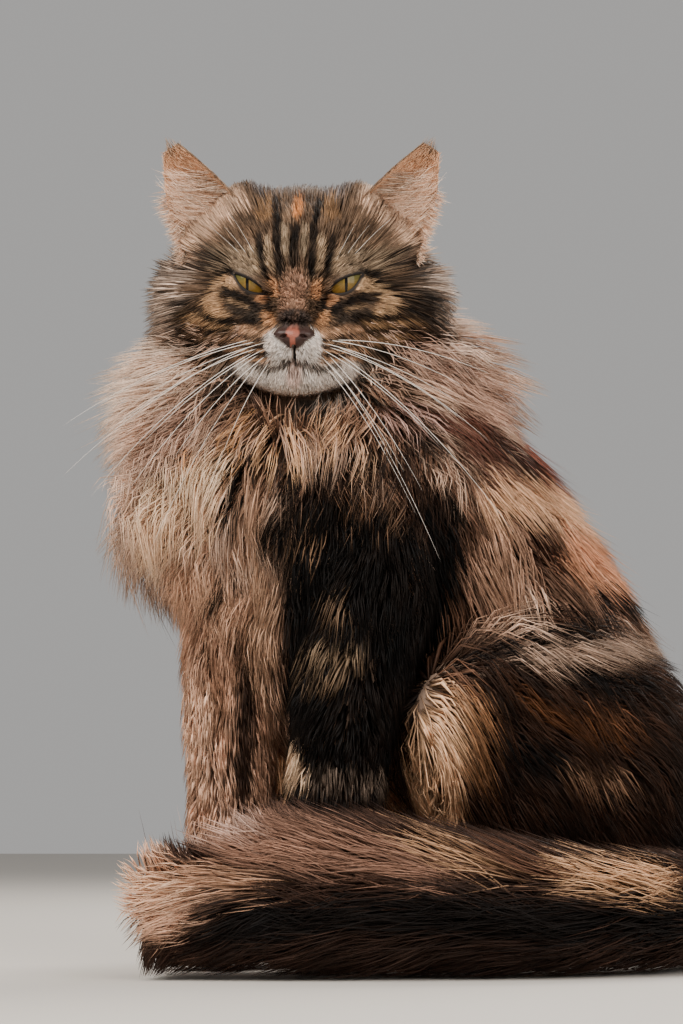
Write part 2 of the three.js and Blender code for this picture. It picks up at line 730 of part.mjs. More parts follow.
// Long hairs in tufts sweep from the ear's inner edge out across the cup, and a few stand on its tip.
const TUFTS = [
  { from: [-0.55, 0.08], to: [1.32, -0.04], wide: 3.6 },
  { from: [-0.6, 0.25], to: [1.3, 0.14], wide: 3.4 },
  { from: [-0.65, 0.42], to: [1.15, 0.36], wide: 3 },
  { from: [0, 0.84], to: [0.9, 1.12], wide: 2.4 },
  { from: [0.5, 0.8], to: [1.9, 1.06], wide: 2.2 },
];
const TUFT_THICK = 0.8;
const tuftSolid = (sign, { from, to, wide }, grow) => {
  const root = earPoint(from[0], from[1], 1);
  const end = earPoint(to[0], to[1], -1);
  const path = (s) => {
    const place = root.clone().lerp(end, s);
    place.z += 3 * Math.sin(Math.PI * s);
    return { place, out: at(0, -1, 0) };
  };
  return placed(lockGeometry(path, wide, TUFT_THICK, grow), sign);
};

// Everything rests on the floor, so what would reach below it is cut off flat.
const FLOOR_SIZE = 900;
const floor = toSolid(
  new THREE.BoxGeometry(FLOOR_SIZE, FLOOR_SIZE, FLOOR_SIZE).translate(0, 0, -FLOOR_SIZE / 2),
);

const cores = {};
const grown = {};
const addCore = (name, make) => {
  cores[name] = make(0);
  grown[name] = make(GAP);
};
addCore("head", (grow) => headSolid(36, 27, grow));
addCore("neck", (grow) => formSolid(neck, 20, 14, grow, CORE_SHARE));
addCore("torso", (grow) =>
  formSolid(trunk, 18, 14, grow, CORE_SHARE).add(formSolid(chest, 12, 10, grow, CORE_SHARE)),
);
for (const [side, sign] of Object.entries(SIDES)) {
  addCore(`eye_${side}`, (grow) => eyeSolid(sign, grow));
  addCore(`ear_${side}`, (grow) =>
    join([earSolid(sign, grow), ...TUFTS.map((tuft) => tuftSolid(sign, tuft, grow))]),
  );
  addCore(`foreleg_${side}`, (grow) =>
    formSolid(foreleg(sign), 12, 10, grow, CORE_SHARE).add(formSolid(forepaw(sign), 12, 8, grow, 0)),
  );
  addCore(`hindleg_${side}`, (grow) =>
    formSolid(haunch(sign), 16, 12, grow, CORE_SHARE).add(formSolid(hindpaw(sign), 12, 8, grow, 0)),
  );
  const sideways = sign * 33;
  cores[`foreleg_${side}`] = cores[`foreleg_${side}`].subtract(toeGrooves(CHEST, 50, sideways));
  cores[`hindleg_${side}`] = cores[`hindleg_${side}`].subtract(toeGrooves(HIPS, 150, sign * 72));
  cores.head = join([cores.head]).subtract(join([openingSolid(sign), mouthSolid(sign), nostrilSolid(sign)]));
}
for (const name of TAIL_LENGTHS) {
  addCore(name, (grow) => tailLength(formSolid(tail, 10, 28, grow, CORE_SHARE), name, grow));
}

// Which neighbours each core gives way to.
const YIELDS = {
  head: ["eye_left", "eye_right"],
  ear_left: ["head"],
  ear_right: ["head"],
  neck: ["head"],
  torso: ["head", "neck", "foreleg_left", "foreleg_right", "hindleg_left", "hindleg_right"],
  foreleg_left: ["neck", "foreleg_right"],
  foreleg_right: ["neck"],
  hindleg_left: ["foreleg_left", "foreleg_right", "hindleg_right"],
  hindleg_right: ["foreleg_left", "foreleg_right"],
  tail_base: ["torso", "hindleg_left", "hindleg_right"],
  tail_bend: ["torso", "hindleg_left", "hindleg_right"],
  tail_middle: ["hindleg_left", "hindleg_right", "foreleg_left", "foreleg_right"],
  tail_tip: ["hindleg_left", "hindleg_right", "foreleg_left", "foreleg_right"],
};
const names = [
  "head", "eye_left", "eye_right", "ear_left", "ear_right", "neck", "foreleg_left", "foreleg_right",
  "torso", "hindleg_left", "hindleg_right", ...TAIL_LENGTHS,
];
const finished = {};
const laid = [];
for (const name of names) {
  const core = (YIELDS[name] ?? []).reduce((solid, other) => solid.subtract(grown[other]), cores[name]);
  const others = names.filter((other) => other !== name).map((other) => grown[other]);
  const locks = coats[name] ?? [];
  if (!locks.length) {
    finished[name] = largest(core.subtract(join([floor, ...laid])));
    continue;
  }
  const fur = join(locks.map((lock) => lock(0))).subtract(join([...others, ...laid]));
  finished[name] = largest(core.add(fur).subtract(floor));
  laid.push(join(locks.map((lock) => lock(GAP))));
}

const BROWN = { head: "#6d5b4c", ear: "#b8977c", ruff: "#917c6b", body: "#55443a", tail: "#4c3b31" };
const COLOURS = {
  head: BROWN.head,
  eye_left: "#8a8440",
  eye_right: "#8a8440",
  ear_left: BROWN.ear,
  ear_right: BROWN.ear,
  neck: BROWN.ruff,
  torso: BROWN.body,
  foreleg_left: "#40322a",
  foreleg_right: "#86694f",
  hindleg_left: "#66503f",
  hindleg_right: "#66503f",
};
const EYE_ROUGHNESS = 0.08;
const FUR_ROUGHNESS = 0.85;

// The model stands on z = 0 with the origin under the middle of its box.
const boxes = Object.values(finished).map((solid) => solid.boundingBox());
const low = [0, 1].map((axis) => Math.min(...boxes.map((box) => box.min[axis])));
const high = [0, 1].map((axis) => Math.max(...boxes.map((box) => box.max[axis])));

const cat = new THREE.Group();
const seated = new THREE.Group();
seated.position.set(-(low[0] + high[0]) / 2, -(low[1] + high[1]) / 2, 0);
cat.add(seated);
for (const [name, solid] of Object.entries(finished)) {
  const geometry = toGeometry(solid);
  const roughness = name.startsWith("eye") ? EYE_ROUGHNESS : FUR_ROUGHNESS;
  const color = COLOURS[name] ?? BROWN.tail;
  const mesh = new THREE.Mesh(
    geometry,
    new THREE.MeshStandardMaterial({ color, roughness, metalness: 0 }),
  );
  mesh.name = name;
  seated.add(mesh);
}
export default cat;
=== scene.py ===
"""A life-size seated maine coon cat: one skin, a coat of tapered tufts, eyes and whiskers."""

import math

import bpy
import numpy as np
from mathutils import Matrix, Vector


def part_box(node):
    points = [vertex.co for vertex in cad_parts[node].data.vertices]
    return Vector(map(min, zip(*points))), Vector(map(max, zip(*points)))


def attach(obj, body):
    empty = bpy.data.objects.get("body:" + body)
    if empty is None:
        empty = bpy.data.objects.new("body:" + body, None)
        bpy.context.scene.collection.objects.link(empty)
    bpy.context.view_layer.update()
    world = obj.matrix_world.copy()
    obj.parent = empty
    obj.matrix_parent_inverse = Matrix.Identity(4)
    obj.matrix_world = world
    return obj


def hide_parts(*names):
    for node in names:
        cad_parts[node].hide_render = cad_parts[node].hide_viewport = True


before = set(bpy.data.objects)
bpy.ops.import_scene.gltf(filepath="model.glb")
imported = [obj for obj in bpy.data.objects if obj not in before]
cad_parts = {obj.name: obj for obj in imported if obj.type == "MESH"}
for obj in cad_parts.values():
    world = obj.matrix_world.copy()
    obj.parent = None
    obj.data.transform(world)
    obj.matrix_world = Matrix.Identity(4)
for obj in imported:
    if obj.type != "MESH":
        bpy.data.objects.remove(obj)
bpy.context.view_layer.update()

bl_info = {
    "name": "Seated Maine Coon",
    "version": (1, 0, 0),
    "blender": (4, 5, 0),
    "location": "3D View > Sidebar > Cat",
    "description": "Dresses the seated cat with skin, fur, eyes and whiskers",
    "category": "Add Mesh",
}

MM = 0.001
FULL = 2 * math.pi

# ---- Sizes in millimetres, in the frame of the camera's view: x right, y away, z up, floor at 0.
EYES = np.array([-23.5, -46.0, 366.0])
HEAD_PITCH = math.radians(11)
HEAD_YAW = math.radians(2.5)
CHEST = {"middle": np.array([-28.5, -54.0, 0.0]), "yaw": math.radians(30)}
HIPS = {"middle": np.array([105.0, 62.0, 0.0]), "yaw": math.radians(50)}
EYE_APART = 25.6
EYE_RADIUS = 11.5
LID = 1.8

LEFT, RIGHT = 1, -1
UP = np.array([0.0, 0.0, 1.0])
ALONG_X = np.array([1.0, 0.0, 0.0])


def turn_x(angle):
    """The 3 x 3 turn about x."""
    c, s = math.cos(angle), math.sin(angle)
    return np.array([[1, 0, 0], [0, c, -s], [0, s, c]])


def turn_z(angle):
    """The 3 x 3 turn about z."""
    c, s = math.cos(angle), math.sin(angle)
    return np.array([[c, -s, 0], [s, c, 0], [0, 0, 1]])


HEAD_TURN = turn_x(HEAD_PITCH) @ turn_z(-HEAD_YAW)


def out_of_head(points):
    """Points of the head's own frame, x to its left and -y out of the nose, put into the view's."""
    return EYES + points @ HEAD_TURN.T


def into_head(points):
    """The way back: the view's points in the head's own frame."""
    return (points - EYES) @ HEAD_TURN


def unit(vectors):
    """Vectors at length 1."""
    return vectors / np.maximum(np.linalg.norm(vectors, axis=-1, keepdims=True), 1e-9)


def smooth(low, high, x):
    """0 below low, 1 above high and a smooth S between."""
    f = np.clip((x - low) / (high - low), 0, 1)
    return f * f * (3 - 2 * f)


def left_of(girdle):
    """A girdle's own left: (cos, -sin) of its turn."""
    return np.array([math.cos(girdle["yaw"]), -math.sin(girdle["yaw"]), 0.0])


def forward_of(girdle):
    """A girdle's own forward, towards the view: (-sin, -cos) of its turn."""
    return np.array([-math.sin(girdle["yaw"]), -math.cos(girdle["yaw"]), 0.0])


def in_girdle(girdle, forward, left, up):
    """A place given as forward, to the left and up in a girdle's own turn."""
    return girdle["middle"] + forward * forward_of(girdle) + left * left_of(girdle) + up * UP


# The frame's origin lies under the middle of the solids' box, so the shift from the view's frame
# is read from where the right eye stands.
_low, _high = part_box("eye_right")
SHIFT = np.array((_low + _high) / 2) / MM - out_of_head(np.array([-EYE_APART, 0.0, 0.0]))


def to_metres(points):
    """Points of the view's frame in mm, put into the frame of the solids in metres."""
    return (points + SHIFT) * MM


def eased(count):
    """Shares from 0 to 1 that crowd at both ends, by the cosine of even angles."""
    return (1 - np.cos(np.linspace(0, math.pi, count))) / 2


def spline(values, t):
    """Catmull-Rom through rows of values, at shares t of the way along: a cubic from each value to
    the next whose slope at a value is half the step between its two neighbours."""
    values = np.asarray(values, float)
    last = len(values) - 1
    place = np.clip(t, 0, 1) * last
    i = np.minimum(place.astype(int), last - 1)
    f = place - i
    if values.ndim > 1:
        f = f[..., None]
    a, b = values[i], values[i + 1]
    before, after = values[np.maximum(i - 1, 0)], values[np.minimum(i + 2, last)]
    bend = 2 * before - 5 * a + 4 * b - after
    return a + 0.5 * f * (b - before + f * (bend + f * (3 * (a - b) + after - before)))


class Form:
    """A body form: ellipse sections carried along a spine of stations.

    A station is (x, y, z, left, wide, high, coat): the section's middle, the direction of its wide
    half axis, its two half axes out to the hair tips, and the depth of the coat inside them.
    """

    STOPS, FIRST_STOP = 32, 0.02  # ellipses that distances are measured from
    STEP = 0.01  # half the span of t that the spine's direction is taken over
    RUN = 0.03  # the last span of t, which hair goes on straight from

    def __init__(self, stations, blunt, end=0.985):
        self.end = end  # hair that would pass the end of the spine runs straight on from here
        self.places = np.array([s[:3] for s in stations], float)
        self.lefts = np.array([s[3] for s in stations])
        self.sizes = np.array([s[4:] for s in stations], float)
        self.blunt = blunt
        t = np.linspace(self.FIRST_STOP, 1 - self.FIRST_STOP, self.STOPS)
        centre, along, left, high = self.frame(t)
        self.stops = centre, along, left, high, self.radii(t, 0.0), spline(self.sizes[:, 2], t)

    def frame(self, t):
        """The spine's middle and its along, left and high directions, high being left x along."""
        ahead = spline(self.places, np.minimum(t + self.STEP, 1))
        behind = spline(self.places, np.maximum(t - self.STEP, 0))
        along = unit(ahead - behind)
        high = unit(np.cross(spline(self.lefts, t), along))
        return spline(self.places, t), along, np.cross(along, high), high

    def radii(self, t, inward):
        """Half axes at t: the stations' own, and inward, closed at both ends by a superellipse,
        (1 - |2t - 1| ** blunt) ** (1 / blunt)."""
        close = np.maximum(1 - np.abs(2 * t - 1) ** self.blunt, 0) ** (1 / self.blunt)
        wide = (spline(self.sizes[:, 0], t) + inward) * close
        return wide, (spline(self.sizes[:, 1], t) + inward) * close

    def point(self, t, around, share, hair=True):
        """The surface at share of the coat's depth: 0 is the hair tips and 1 the skin.

        It is the spine's middle, plus left times the wide half axis and the angle's cosine, plus
        high times the tall one and its sine. The spine's ends move in by the share as well.
        """
        over = np.maximum(t - self.end, 0) if hair else 0 * t
        t = t - over
        centre, along, left, high = self.frame(t)
        inward = -share * spline(self.sizes[:, 2], t)
        wide, tall = self.radii(t, inward)
        further = inward * np.sign(2 * t - 1) * (2 * t - 1) ** 8 + over * self.speed()
        return (
            centre
            + left * (wide * np.cos(around))[..., None]
            + high * (tall * np.sin(around))[..., None]
            + along * further[..., None]
        )

    def speed(self):
        """Length of spine to one unit of t where hair runs straight on."""
        places = spline(self.places, np.array([self.end - self.RUN, self.end]))
        return float(np.linalg.norm(places[1] - places[0])) / self.RUN

    def away(self, points, share):
        """How far points lie outside the surface at a share of the coat: (k - 1) times the least
        half axis, with k the radius told in the half axes of the nearest stop."""
        centre, along, left, high, (wide, tall), coat = self.stops
        far = ((points[:, None, :] - centre[None]) ** 2).sum(-1)
        i = far.argmin(1)
        off = points - centre[i]
        w, h = wide[i] - share * coat[i], tall[i] - share * coat[i]
        least = np.minimum(w, h)
        parts = [(off * d[i]).sum(-1) for d in (left, high, along)]
        k = np.sqrt((parts[0] / w) ** 2 + (parts[1] / h) ** 2 + (parts[2] / least) ** 2)
        return (k - 1) * least


chest_left, hip_left = left_of(CHEST), left_of(HIPS)
mid_left = (chest_left + hip_left) / 2


trunk = Form(
    [
        (-16, 14, 330, chest_left, 52, 46, 20),
        (8, 12, 272, chest_left, 86, 80, 24),
        (48, 30, 218, mid_left, 92, 88, 24),
        (84, 50, 162, hip_left, 96, 90, 24),
        (112, 68, 104, hip_left, 96, 84, 24),
        (130, 82, 44, hip_left, 84, 66, 24),
    ],
    4,
)
chest = Form(
    [
        (-18, 2, 300, chest_left, 66, 56, 20),
        (-23, -18, 245, chest_left, 80, 62, 30),
        (-22, -28, 195, chest_left, 74, 56, 30),
        (-17, -28, 150, chest_left, 58, 44, 26),
        (-9, -20, 112, chest_left, 38, 30, 18),
    ],
    3,
)
neck = Form(
    [
        (-22, 40, 384, ALONG_X, 64, 46, 18),
        (-19, 28, 340, ALONG_X, 107, 60, 36),
        (-17, 4, 296, ALONG_X, 119, 80, 46),
        (-21, -14, 250, ALONG_X, 113, 82, 48),
        (-30, -28, 204, ALONG_X, 76, 66, 38),
        (-31, -36, 166, ALONG_X, 44, 44, 30),
    ],
    3,
)


# Legs: girdle, bluntness of the ends, and stations (forward, outwards, up, wide, high, coat).
LEGS = {
    "foreleg": (CHEST, 8, [  # from the elbow to the ground
        (-42, 38, 246, 26, 28, 12),
        (-22, 40, 200, 35, 40, 16),
        (-2, 36, 145, 31, 34, 14),
        (4, 32, 95, 27, 28, 10),
        (6, 32, 50, 26, 26, 8),
        (8, 32, 8, 25, 25, 8),
    ]),
    "forepaw": (CHEST, 2.4, [
        (-18, 32, 18, 22, 18, 6),
        (12, 32, 20, 27, 22, 6),
        (44, 33, 12, 24, 14, 6),
    ]),
    "haunch": (HIPS, 3.2, [  # the folded hindleg, from the knee back to the rump
        (130, 60, 92, 34, 58, 16),
        (100, 62, 104, 42, 84, 20),
        (46, 66, 106, 50, 94, 24),
        (-10, 62, 92, 50, 86, 24),
        (-60, 44, 74, 42, 62, 20),
    ]),
    "hindpaw": (HIPS, 3, [
        (20, 78, 18, 20, 18, 8),
        (90, 76, 22, 26, 24, 8),
        (146, 72, 12, 24, 14, 6),
    ]),
}


def leg(part, side):
    """One leg's form on one side: stations placed in its girdle's own turn."""
    girdle, blunt, stations = LEGS[part]
    left = left_of(girdle)
    return Form(
        [
            (*in_girdle(girdle, ahead, side * out, up), left, *sizes)
            for ahead, out, up, *sizes in stations
        ],
        blunt,
    )


# The tail from the rump to the tip: a place, and the half thickness with its hair and without.
TAIL = [
    (150, 104, 54, 24, 13),
    (186, 72, 36, 29, 13),
    (200, 16, 32, 31, 13),
    (192, -46, 31, 31, 12),
    (158, -100, 32, 32, 12),
    (102, -133, 34, 35, 11),
    (36, -147, 39, 40, 11),
    (-24, -150, 43, 43, 10),
    (-66, -147, 42, 40, 8),
    (-93, -142, 39, 27, 6),
    (-105, -139, 37, 9, 3),
]
tail = Form([(x, y, z, UP, full, full, full - bare) for x, y, z, full, bare in TAIL], 7, 0.8)

FORMS = {
    "trunk": trunk,
    "chest": chest,
    "neck": neck,
    **{
        f"{part}_{name}": leg(part, side)
        for part in LEGS
        for name, side in (("left", LEFT), ("right", RIGHT))
    },
    "tail": tail,
}

# ---- The head: blended forms, found along rays from a middle that sees all of it.
HEAD_MIDDLE = np.array([0.0, 14.0, -8.0])


def both(x, y, z, a, b, c, coat):
    """An ellipsoid, (middle, half axes, coat), and its mirror image across the nose."""
    return [((x, y, z), (a, b, c), coat), ((-x, y, z), (a, b, c), coat)]


SOFT_BLEND = 9.0
SOFT_FORMS = [
    ((0, 42, 12), (50, 50, 43), 9),  # cranium
    ((0, 10, 17), (36, 26, 26), 5),  # forehead
    *both(30, 30, 34, 19, 20, 23, 7),  # ear bases
    *both(42, 32, 18, 26, 26, 24, 10),  # temples
    *both(21, 0, 13, 14, 11, 8, 3),  # brows
    *both(34, 10, -14, 20, 19, 16, 4),  # cheekbones
    *both(47, 32, -8, 31, 30, 29, 16),  # cheek fur
    *both(34, 20, -36, 29, 30, 21, 14),  # jowls
    *both(18, -4, -20, 15, 18, 13, 3),  # upper jaw
    ((0, -3, -1), (13, 18, 12), 3),  # upper bridge of the nose
    ((0, -20, -13), (10.5, 20, 11), 3),  # lower bridge
    ((0, -14, -34), (31, 25, 14), 4),  # muzzle
    ((0, -10, -46), (35, 24, 14.5), 6),  # lower jaw
]
CRISP_BLEND = 3.5
FAR_OUT = 1e3  # a distance that any form's own is less than
LID_BALL = EYE_RADIUS + LID
NOSE_FORMS = [
    ((0, -37.4, -28.6), (5.8, 5.4, 5.4), 0),  # nose leather
    *both(6.4, -37.2, -26.8, 4.4, 3.8, 3.0, 0),  # its wings
]
CRISP_FORMS = [
    *both(EYE_APART, 0, 0, LID_BALL, LID_BALL, LID_BALL, 0.6),  # lids
    *both(13, -30, -33.5, 15.5, 12.5, 10.5, 3),  # whisker pads
    *NOSE_FORMS,
    ((0, -22, -51), (22, 15.5, 9.8), 4),  # chin
]


def blended(points, forms, blend, share, start):
    """Smooth union of ellipsoids, each shrunk by a share of its coat: k (k - 1) over the length
    of the gradient of k, with k the ellipsoid's own radius, then a quadratic blend."""
    nearest = start
    for centre, half, coat in forms:
        axes = np.array(half, float) - coat * share
        off = points - np.array(centre, float)
        k = np.linalg.norm(off / axes, axis=-1)
        slope = np.maximum(np.linalg.norm(off / axes**2, axis=-1), 1e-6)
        here = k * (k - 1) / slope
        near = np.maximum(blend - np.abs(nearest - here), 0) / blend
        nearest = np.minimum(nearest, here) - near * near * blend / 4
    return nearest


def head_away(points, share):
    """How far points lie outside the head at a share of its coat: its soft forms blended widely,
    and its crisp ones blended narrowly over them."""
    start = blended(points, SOFT_FORMS, SOFT_BLEND, share, np.full(points.shape[:-1], FAR_OUT))
    return blended(points, CRISP_FORMS, CRISP_BLEND, share, start)


def nose_away(points):
    """How far points lie outside the nose leather and its wings."""
    return blended(points, NOSE_FORMS, CRISP_BLEND, 0.0, np.full(len(points), FAR_OUT))


WALK = 40  # steps that take a point from before the face to its surface
STRIDE, BACKWARDS = 0.85, -2.0  # share of the distance left in one step, and the longest way back


def march(starts, directions, away, steps=WALK, longest=5.0):
    """Walks each point along its direction by a share of the distance left, again and again, and
    gives the distance walked."""
    walked = np.zeros(starts.shape[:-1])
    for _ in range(steps):
        left = away(starts + directions * walked[..., None])
        walked += np.clip(left * STRIDE, BACKWARDS, longest)
    return walked


BEFORE_FACE = -75.0


def on_face(x, z):
    """y of the head's skin straight behind (x, z), seen from the front."""
    x, z = np.broadcast_arrays(np.asarray(x, float), np.asarray(z, float))
    starts = np.stack([x, np.full(x.shape, BEFORE_FACE), z], -1)
    ahead = np.array([0.0, 1.0, 0.0])
    return BEFORE_FACE + march(starts, ahead, lambda p: head_away(p, 1.0))


# The line of the mouth, down from the nose and out under each pad, as (x, z).
MOUTH = [
    (0, -33.5), (0, -37), (0, -40.5),
    (4, -43), (9, -45.2), (14, -46.2), (19, -45.6), (23, -43.4),
]
MOUTH_DEEP, MOUTH_HALF = 2.3, 1.36
MOUTH_X = np.array([x for x, _ in MOUTH], float)
MOUTH_Y = on_face(MOUTH_X, [z for _, z in MOUTH])
PARTED = 2  # the corner of the line where the two lips part
NOSTRIL = {
    "x": 5.4, "y": -42.4, "z": -27.8, "wide": 2.4, "deep": 3.2, "high": 1.1,
    "slant": math.radians(24),
}
# The lids' openings. The eye on the cat's own right is narrowed a little more than the other.
OPENING = {
    LEFT: {"inner": -10.4, "outer": 10.2, "above": 2.2, "below": 4.6, "slant": math.radians(28)},
    RIGHT: {"inner": -10.2, "outer": 9.4, "above": 1.7, "below": 3.6, "slant": math.radians(31)},
}
OPENING_POINTS = 72
ARCH_ABOVE, ARCH_BELOW = 0.8, 0.9  # powers of the sine that fill out the two arches


def opening_outline(side, grow):
    """The almond between the lids as (x, z) round the left eye's middle: a sine arch above and a
    deeper one below a slanted line, grown outwards along its normals."""
    half = OPENING_POINTS // 2
    shape = OPENING[side]
    share = eased(half + 1)
    x = shape["inner"] + share * (shape["outer"] - shape["inner"])
    top = shape["above"] * np.sin(math.pi * share) ** ARCH_ABOVE
    low = -shape["below"] * np.sin(math.pi * share) ** ARCH_BELOW
    line = np.concatenate([np.stack([x, top], -1), np.stack([x, low], -1)[-2:0:-1]])
    ahead, behind = np.roll(line, -1, 0), np.roll(line, 1, 0)
    tangent = unit(ahead - behind)
    line = line + np.stack([-tangent[:, 1], tangent[:, 0]], -1) * grow
    c, s = math.cos(shape["slant"]), math.sin(shape["slant"])
    return line @ np.array([[c, s], [-s, c]])


def opening_away(x, z, side):
    """Signed distance, roughly, to one opening's almond: the height over its arch, or the way
    past its corners, whichever is more. It is below 0 inside."""
    x = side * x - EYE_APART
    shape = OPENING[side]
    c, s = math.cos(shape["slant"]), math.sin(shape["slant"])
    across, up = x * c + z * s, -x * s + z * c
    share = np.clip((across - shape["inner"]) / (shape["outer"] - shape["inner"]), 0, 1)
    arch = np.sin(math.pi * share)
    height = np.where(up > 0, shape["above"] * arch**ARCH_ABOVE, shape["below"] * arch**ARCH_BELOW)
    ends = np.maximum(shape["inner"] - across, across - shape["outer"])
    return np.maximum(np.abs(up) - height, ends)


def opening_either(own):
    """The distance to the nearer of the two openings, for points of the head's own frame."""
    x, z = own[..., 0], own[..., 2]
    return np.minimum(opening_away(x, z, LEFT), opening_away(x, z, RIGHT))


def to_polyline(points, corners):
    """Distance from points to a line through corners: the least over its pieces, each at the
    nearest of their points, or to the one corner there is."""
    corners = np.asarray(corners, float)
    nearest = np.full(points.shape[:-1], 1e9)
    if len(corners) == 1:
        return np.linalg.norm(points - corners[0], axis=-1)
    for a, b in zip(corners[:-1], corners[1:]):
        ab = b - a
        f = np.clip(((points - a) @ ab) / (ab @ ab), 0, 1)
        nearest = np.minimum(nearest, np.linalg.norm(points - (a + f[..., None] * ab), axis=-1))
    return nearest


def mouth_back(x):
    """How far back the mouth's groove goes: its depth behind the face over the mouth's line."""
    return np.interp(x, MOUTH_X[PARTED:], MOUTH_Y[PARTED:]) + MOUTH_DEEP


def face_cuts(points):
    """How deep points lie inside what is cut from the face: the mouth's groove round its line,
    an ellipsoid for each nostril, and the lid openings cut straight back."""
    x, z = points[..., 0], points[..., 2]
    flat = np.stack([np.abs(x), z], -1)
    before = points[..., 1] < 0
    line = to_polyline(flat, MOUTH)
    groove = MOUTH_HALF - line - np.maximum(points[..., 1] - mouth_back(np.abs(x)), 0)
    c, s = math.cos(NOSTRIL["slant"]), math.sin(NOSTRIL["slant"])
    u, v = np.abs(x) - NOSTRIL["x"], z - NOSTRIL["z"]
    w = points[..., 1] - NOSTRIL["y"]
    k = np.sqrt(
        ((u * c - v * s) / NOSTRIL["wide"]) ** 2
        + (w / NOSTRIL["deep"]) ** 2
        + ((u * s + v * c) / NOSTRIL["high"]) ** 2
    )
    hole = (1 - k) * NOSTRIL["high"]
    lids = np.minimum(0.6 - opening_either(points), -points[..., 1] - 1.0)
    cut = np.maximum(np.maximum(groove, hole), lids)
    return np.where(before, cut, -FAR_OUT)


NOSE_TILT = math.atan2(19, 55)  # the rays fan out round the line to the nose
HEAD_FAR = 130.0  # further from the head's middle than any hair of it


def head_ray(polar, around):
    """Directions at an angle from the line to the nose and round it: the sine of the first times
    (cosine, sine) of the second, and its cosine forwards."""
    ray = np.stack(
        [np.sin(polar) * np.cos(around), -np.cos(polar), np.sin(polar) * np.sin(around)], -1
    )
    return ray @ turn_x(NOSE_TILT).T


class Head:
    """The head as distances along rays, kept in tables for the skin and for the hair tips."""

    ROWS, COLUMNS = 196, 232
    COARSE = 84, 100  # rows and columns of the first, coarser table
    CROWD = 1.35  # power that brings the rows together about the nose
    FACE = 0.62  # share of the rows that the face's cuts can reach

    def __init__(self):
        rays = self.lattice(*self.COARSE)
        starts = HEAD_MIDDLE + rays * HEAD_FAR
        self.tips, rough = (
            HEAD_FAR - march(starts, -rays, lambda p: head_away(p, share)) for share in (0.0, 1.0)
        )
        self.rays = self.lattice(self.ROWS, self.COLUMNS)
        polar, around = self.angles(self.ROWS, self.COLUMNS)
        self.skin = self.reach(rough, polar, around)
        self.skin -= self.refine(self.skin, slice(None), lambda p: head_away(p, 1.0), 14)
        self.cut = self.skin.copy()
        face = slice(0, int(self.ROWS * self.FACE))
        self.cut[face] -= self.refine(
            self.cut, face, lambda p: np.maximum(head_away(p, 1.0), face_cuts(p)), 30
        )

    def angles(self, rows, columns):
        """Both angles over a grid: pi times a power of the row's share, and a full turn."""
        polar = math.pi * np.linspace(0, 1, rows + 1) ** self.CROWD
        return np.meshgrid(polar, np.arange(columns) * FULL / columns, indexing="ij")

    def lattice(self, rows, columns):
        """The rays of a grid."""
        return head_ray(*self.angles(rows, columns))

    def refine(self, reach, rows, away, steps):
        """How much further in than the given reach the surface lies along the chosen rays."""
        rays = self.rays[rows]
        return march(HEAD_MIDDLE + rays * reach[rows][..., None], -rays, away, steps, 2.5)

    def reach(self, table, polar, around):
        """A table's distance at any two angles, bilinear between its rows and columns."""
        rows, columns = table.shape[0] - 1, table.shape[1]
        i = (np.clip(polar, 0, math.pi) / math.pi) ** (1 / self.CROWD) * rows
        j = (around % FULL) / FULL * columns
        i0 = np.minimum(i.astype(int), rows - 1)
        j0 = j.astype(int) % columns
        j1 = (j0 + 1) % columns
        fi, fj = i - i0, j - np.floor(j)
        low = table[i0, j0] * (1 - fj) + table[i0, j1] * fj
        high = table[i0 + 1, j0] * (1 - fj) + table[i0 + 1, j1] * fj
        return low * (1 - fi) + high * fi

    def point(self, polar, around, share):
        """The head at share of the coat's depth, in the head's own frame."""
        skin, tips = (self.reach(table, polar, around) for table in (self.skin, self.tips))
        reach = tips + (skin - tips) * share
        return HEAD_MIDDLE + head_ray(polar, around) * reach[..., None]


head = Head()

# ---- An ear is a sheet between its inner and outer edge, hollowed backwards into a cup.
EAR = {
    "inner_base": (28, 16, 40), "inner_tip": (68, 26, 77), "bow_up": 2,
    "outer_base": (66, 24, 20), "outer_tip": (75.5, 27, 72), "bow_out": 3,
    "bulge": 20, "thick": 3.0, "root": -0.22, "top": 0.97,
}


def ear_point(across, up, back):
    """across runs from -1 at the inner edge to 1 at the outer, up from 0 at the base to 1 at the
    tip: straight between the edges, which bow out by a sine, and hollowed by a parabola across."""
    above = np.maximum(up, 0)
    inner, outer = (
        np.array(EAR[edge + "_base"]) * (1 - up)[..., None]
        + np.array(EAR[edge + "_tip"]) * up[..., None]
        for edge in ("inner", "outer")
    )
    outer[..., 0] += EAR["bow_out"] * np.sin(math.pi * above)
    inner[..., 2] += EAR["bow_up"] * np.sin(math.pi * above)
    f = ((across + 1) / 2)[..., None]
    point = inner * (1 - f) + outer * f
    point[..., 1] += EAR["bulge"] * (1 - above**1.5) * (1 - np.minimum(across**2, 1)) + back
    return point


def mirrored(points, side):
    """The left side's points, or their mirror image for the right side."""
    return points * np.array([side, 1, 1])


# ---- Colours.
def linear(colour):
    """sRGB hex to linear red, green and blue: a 12.92th below 0.04045, and above it the power 2.4
    of (value + 0.055) / 1.055."""
    value = np.array([int(colour[i : i + 2], 16) / 255 for i in (1, 3, 5)])
    return np.where(value <= 0.04045, value / 12.92, ((value + 0.055) / 1.055) ** 2.4)


COLOUR = {"subtype": "COLOR", "min": 0, "max": 1}


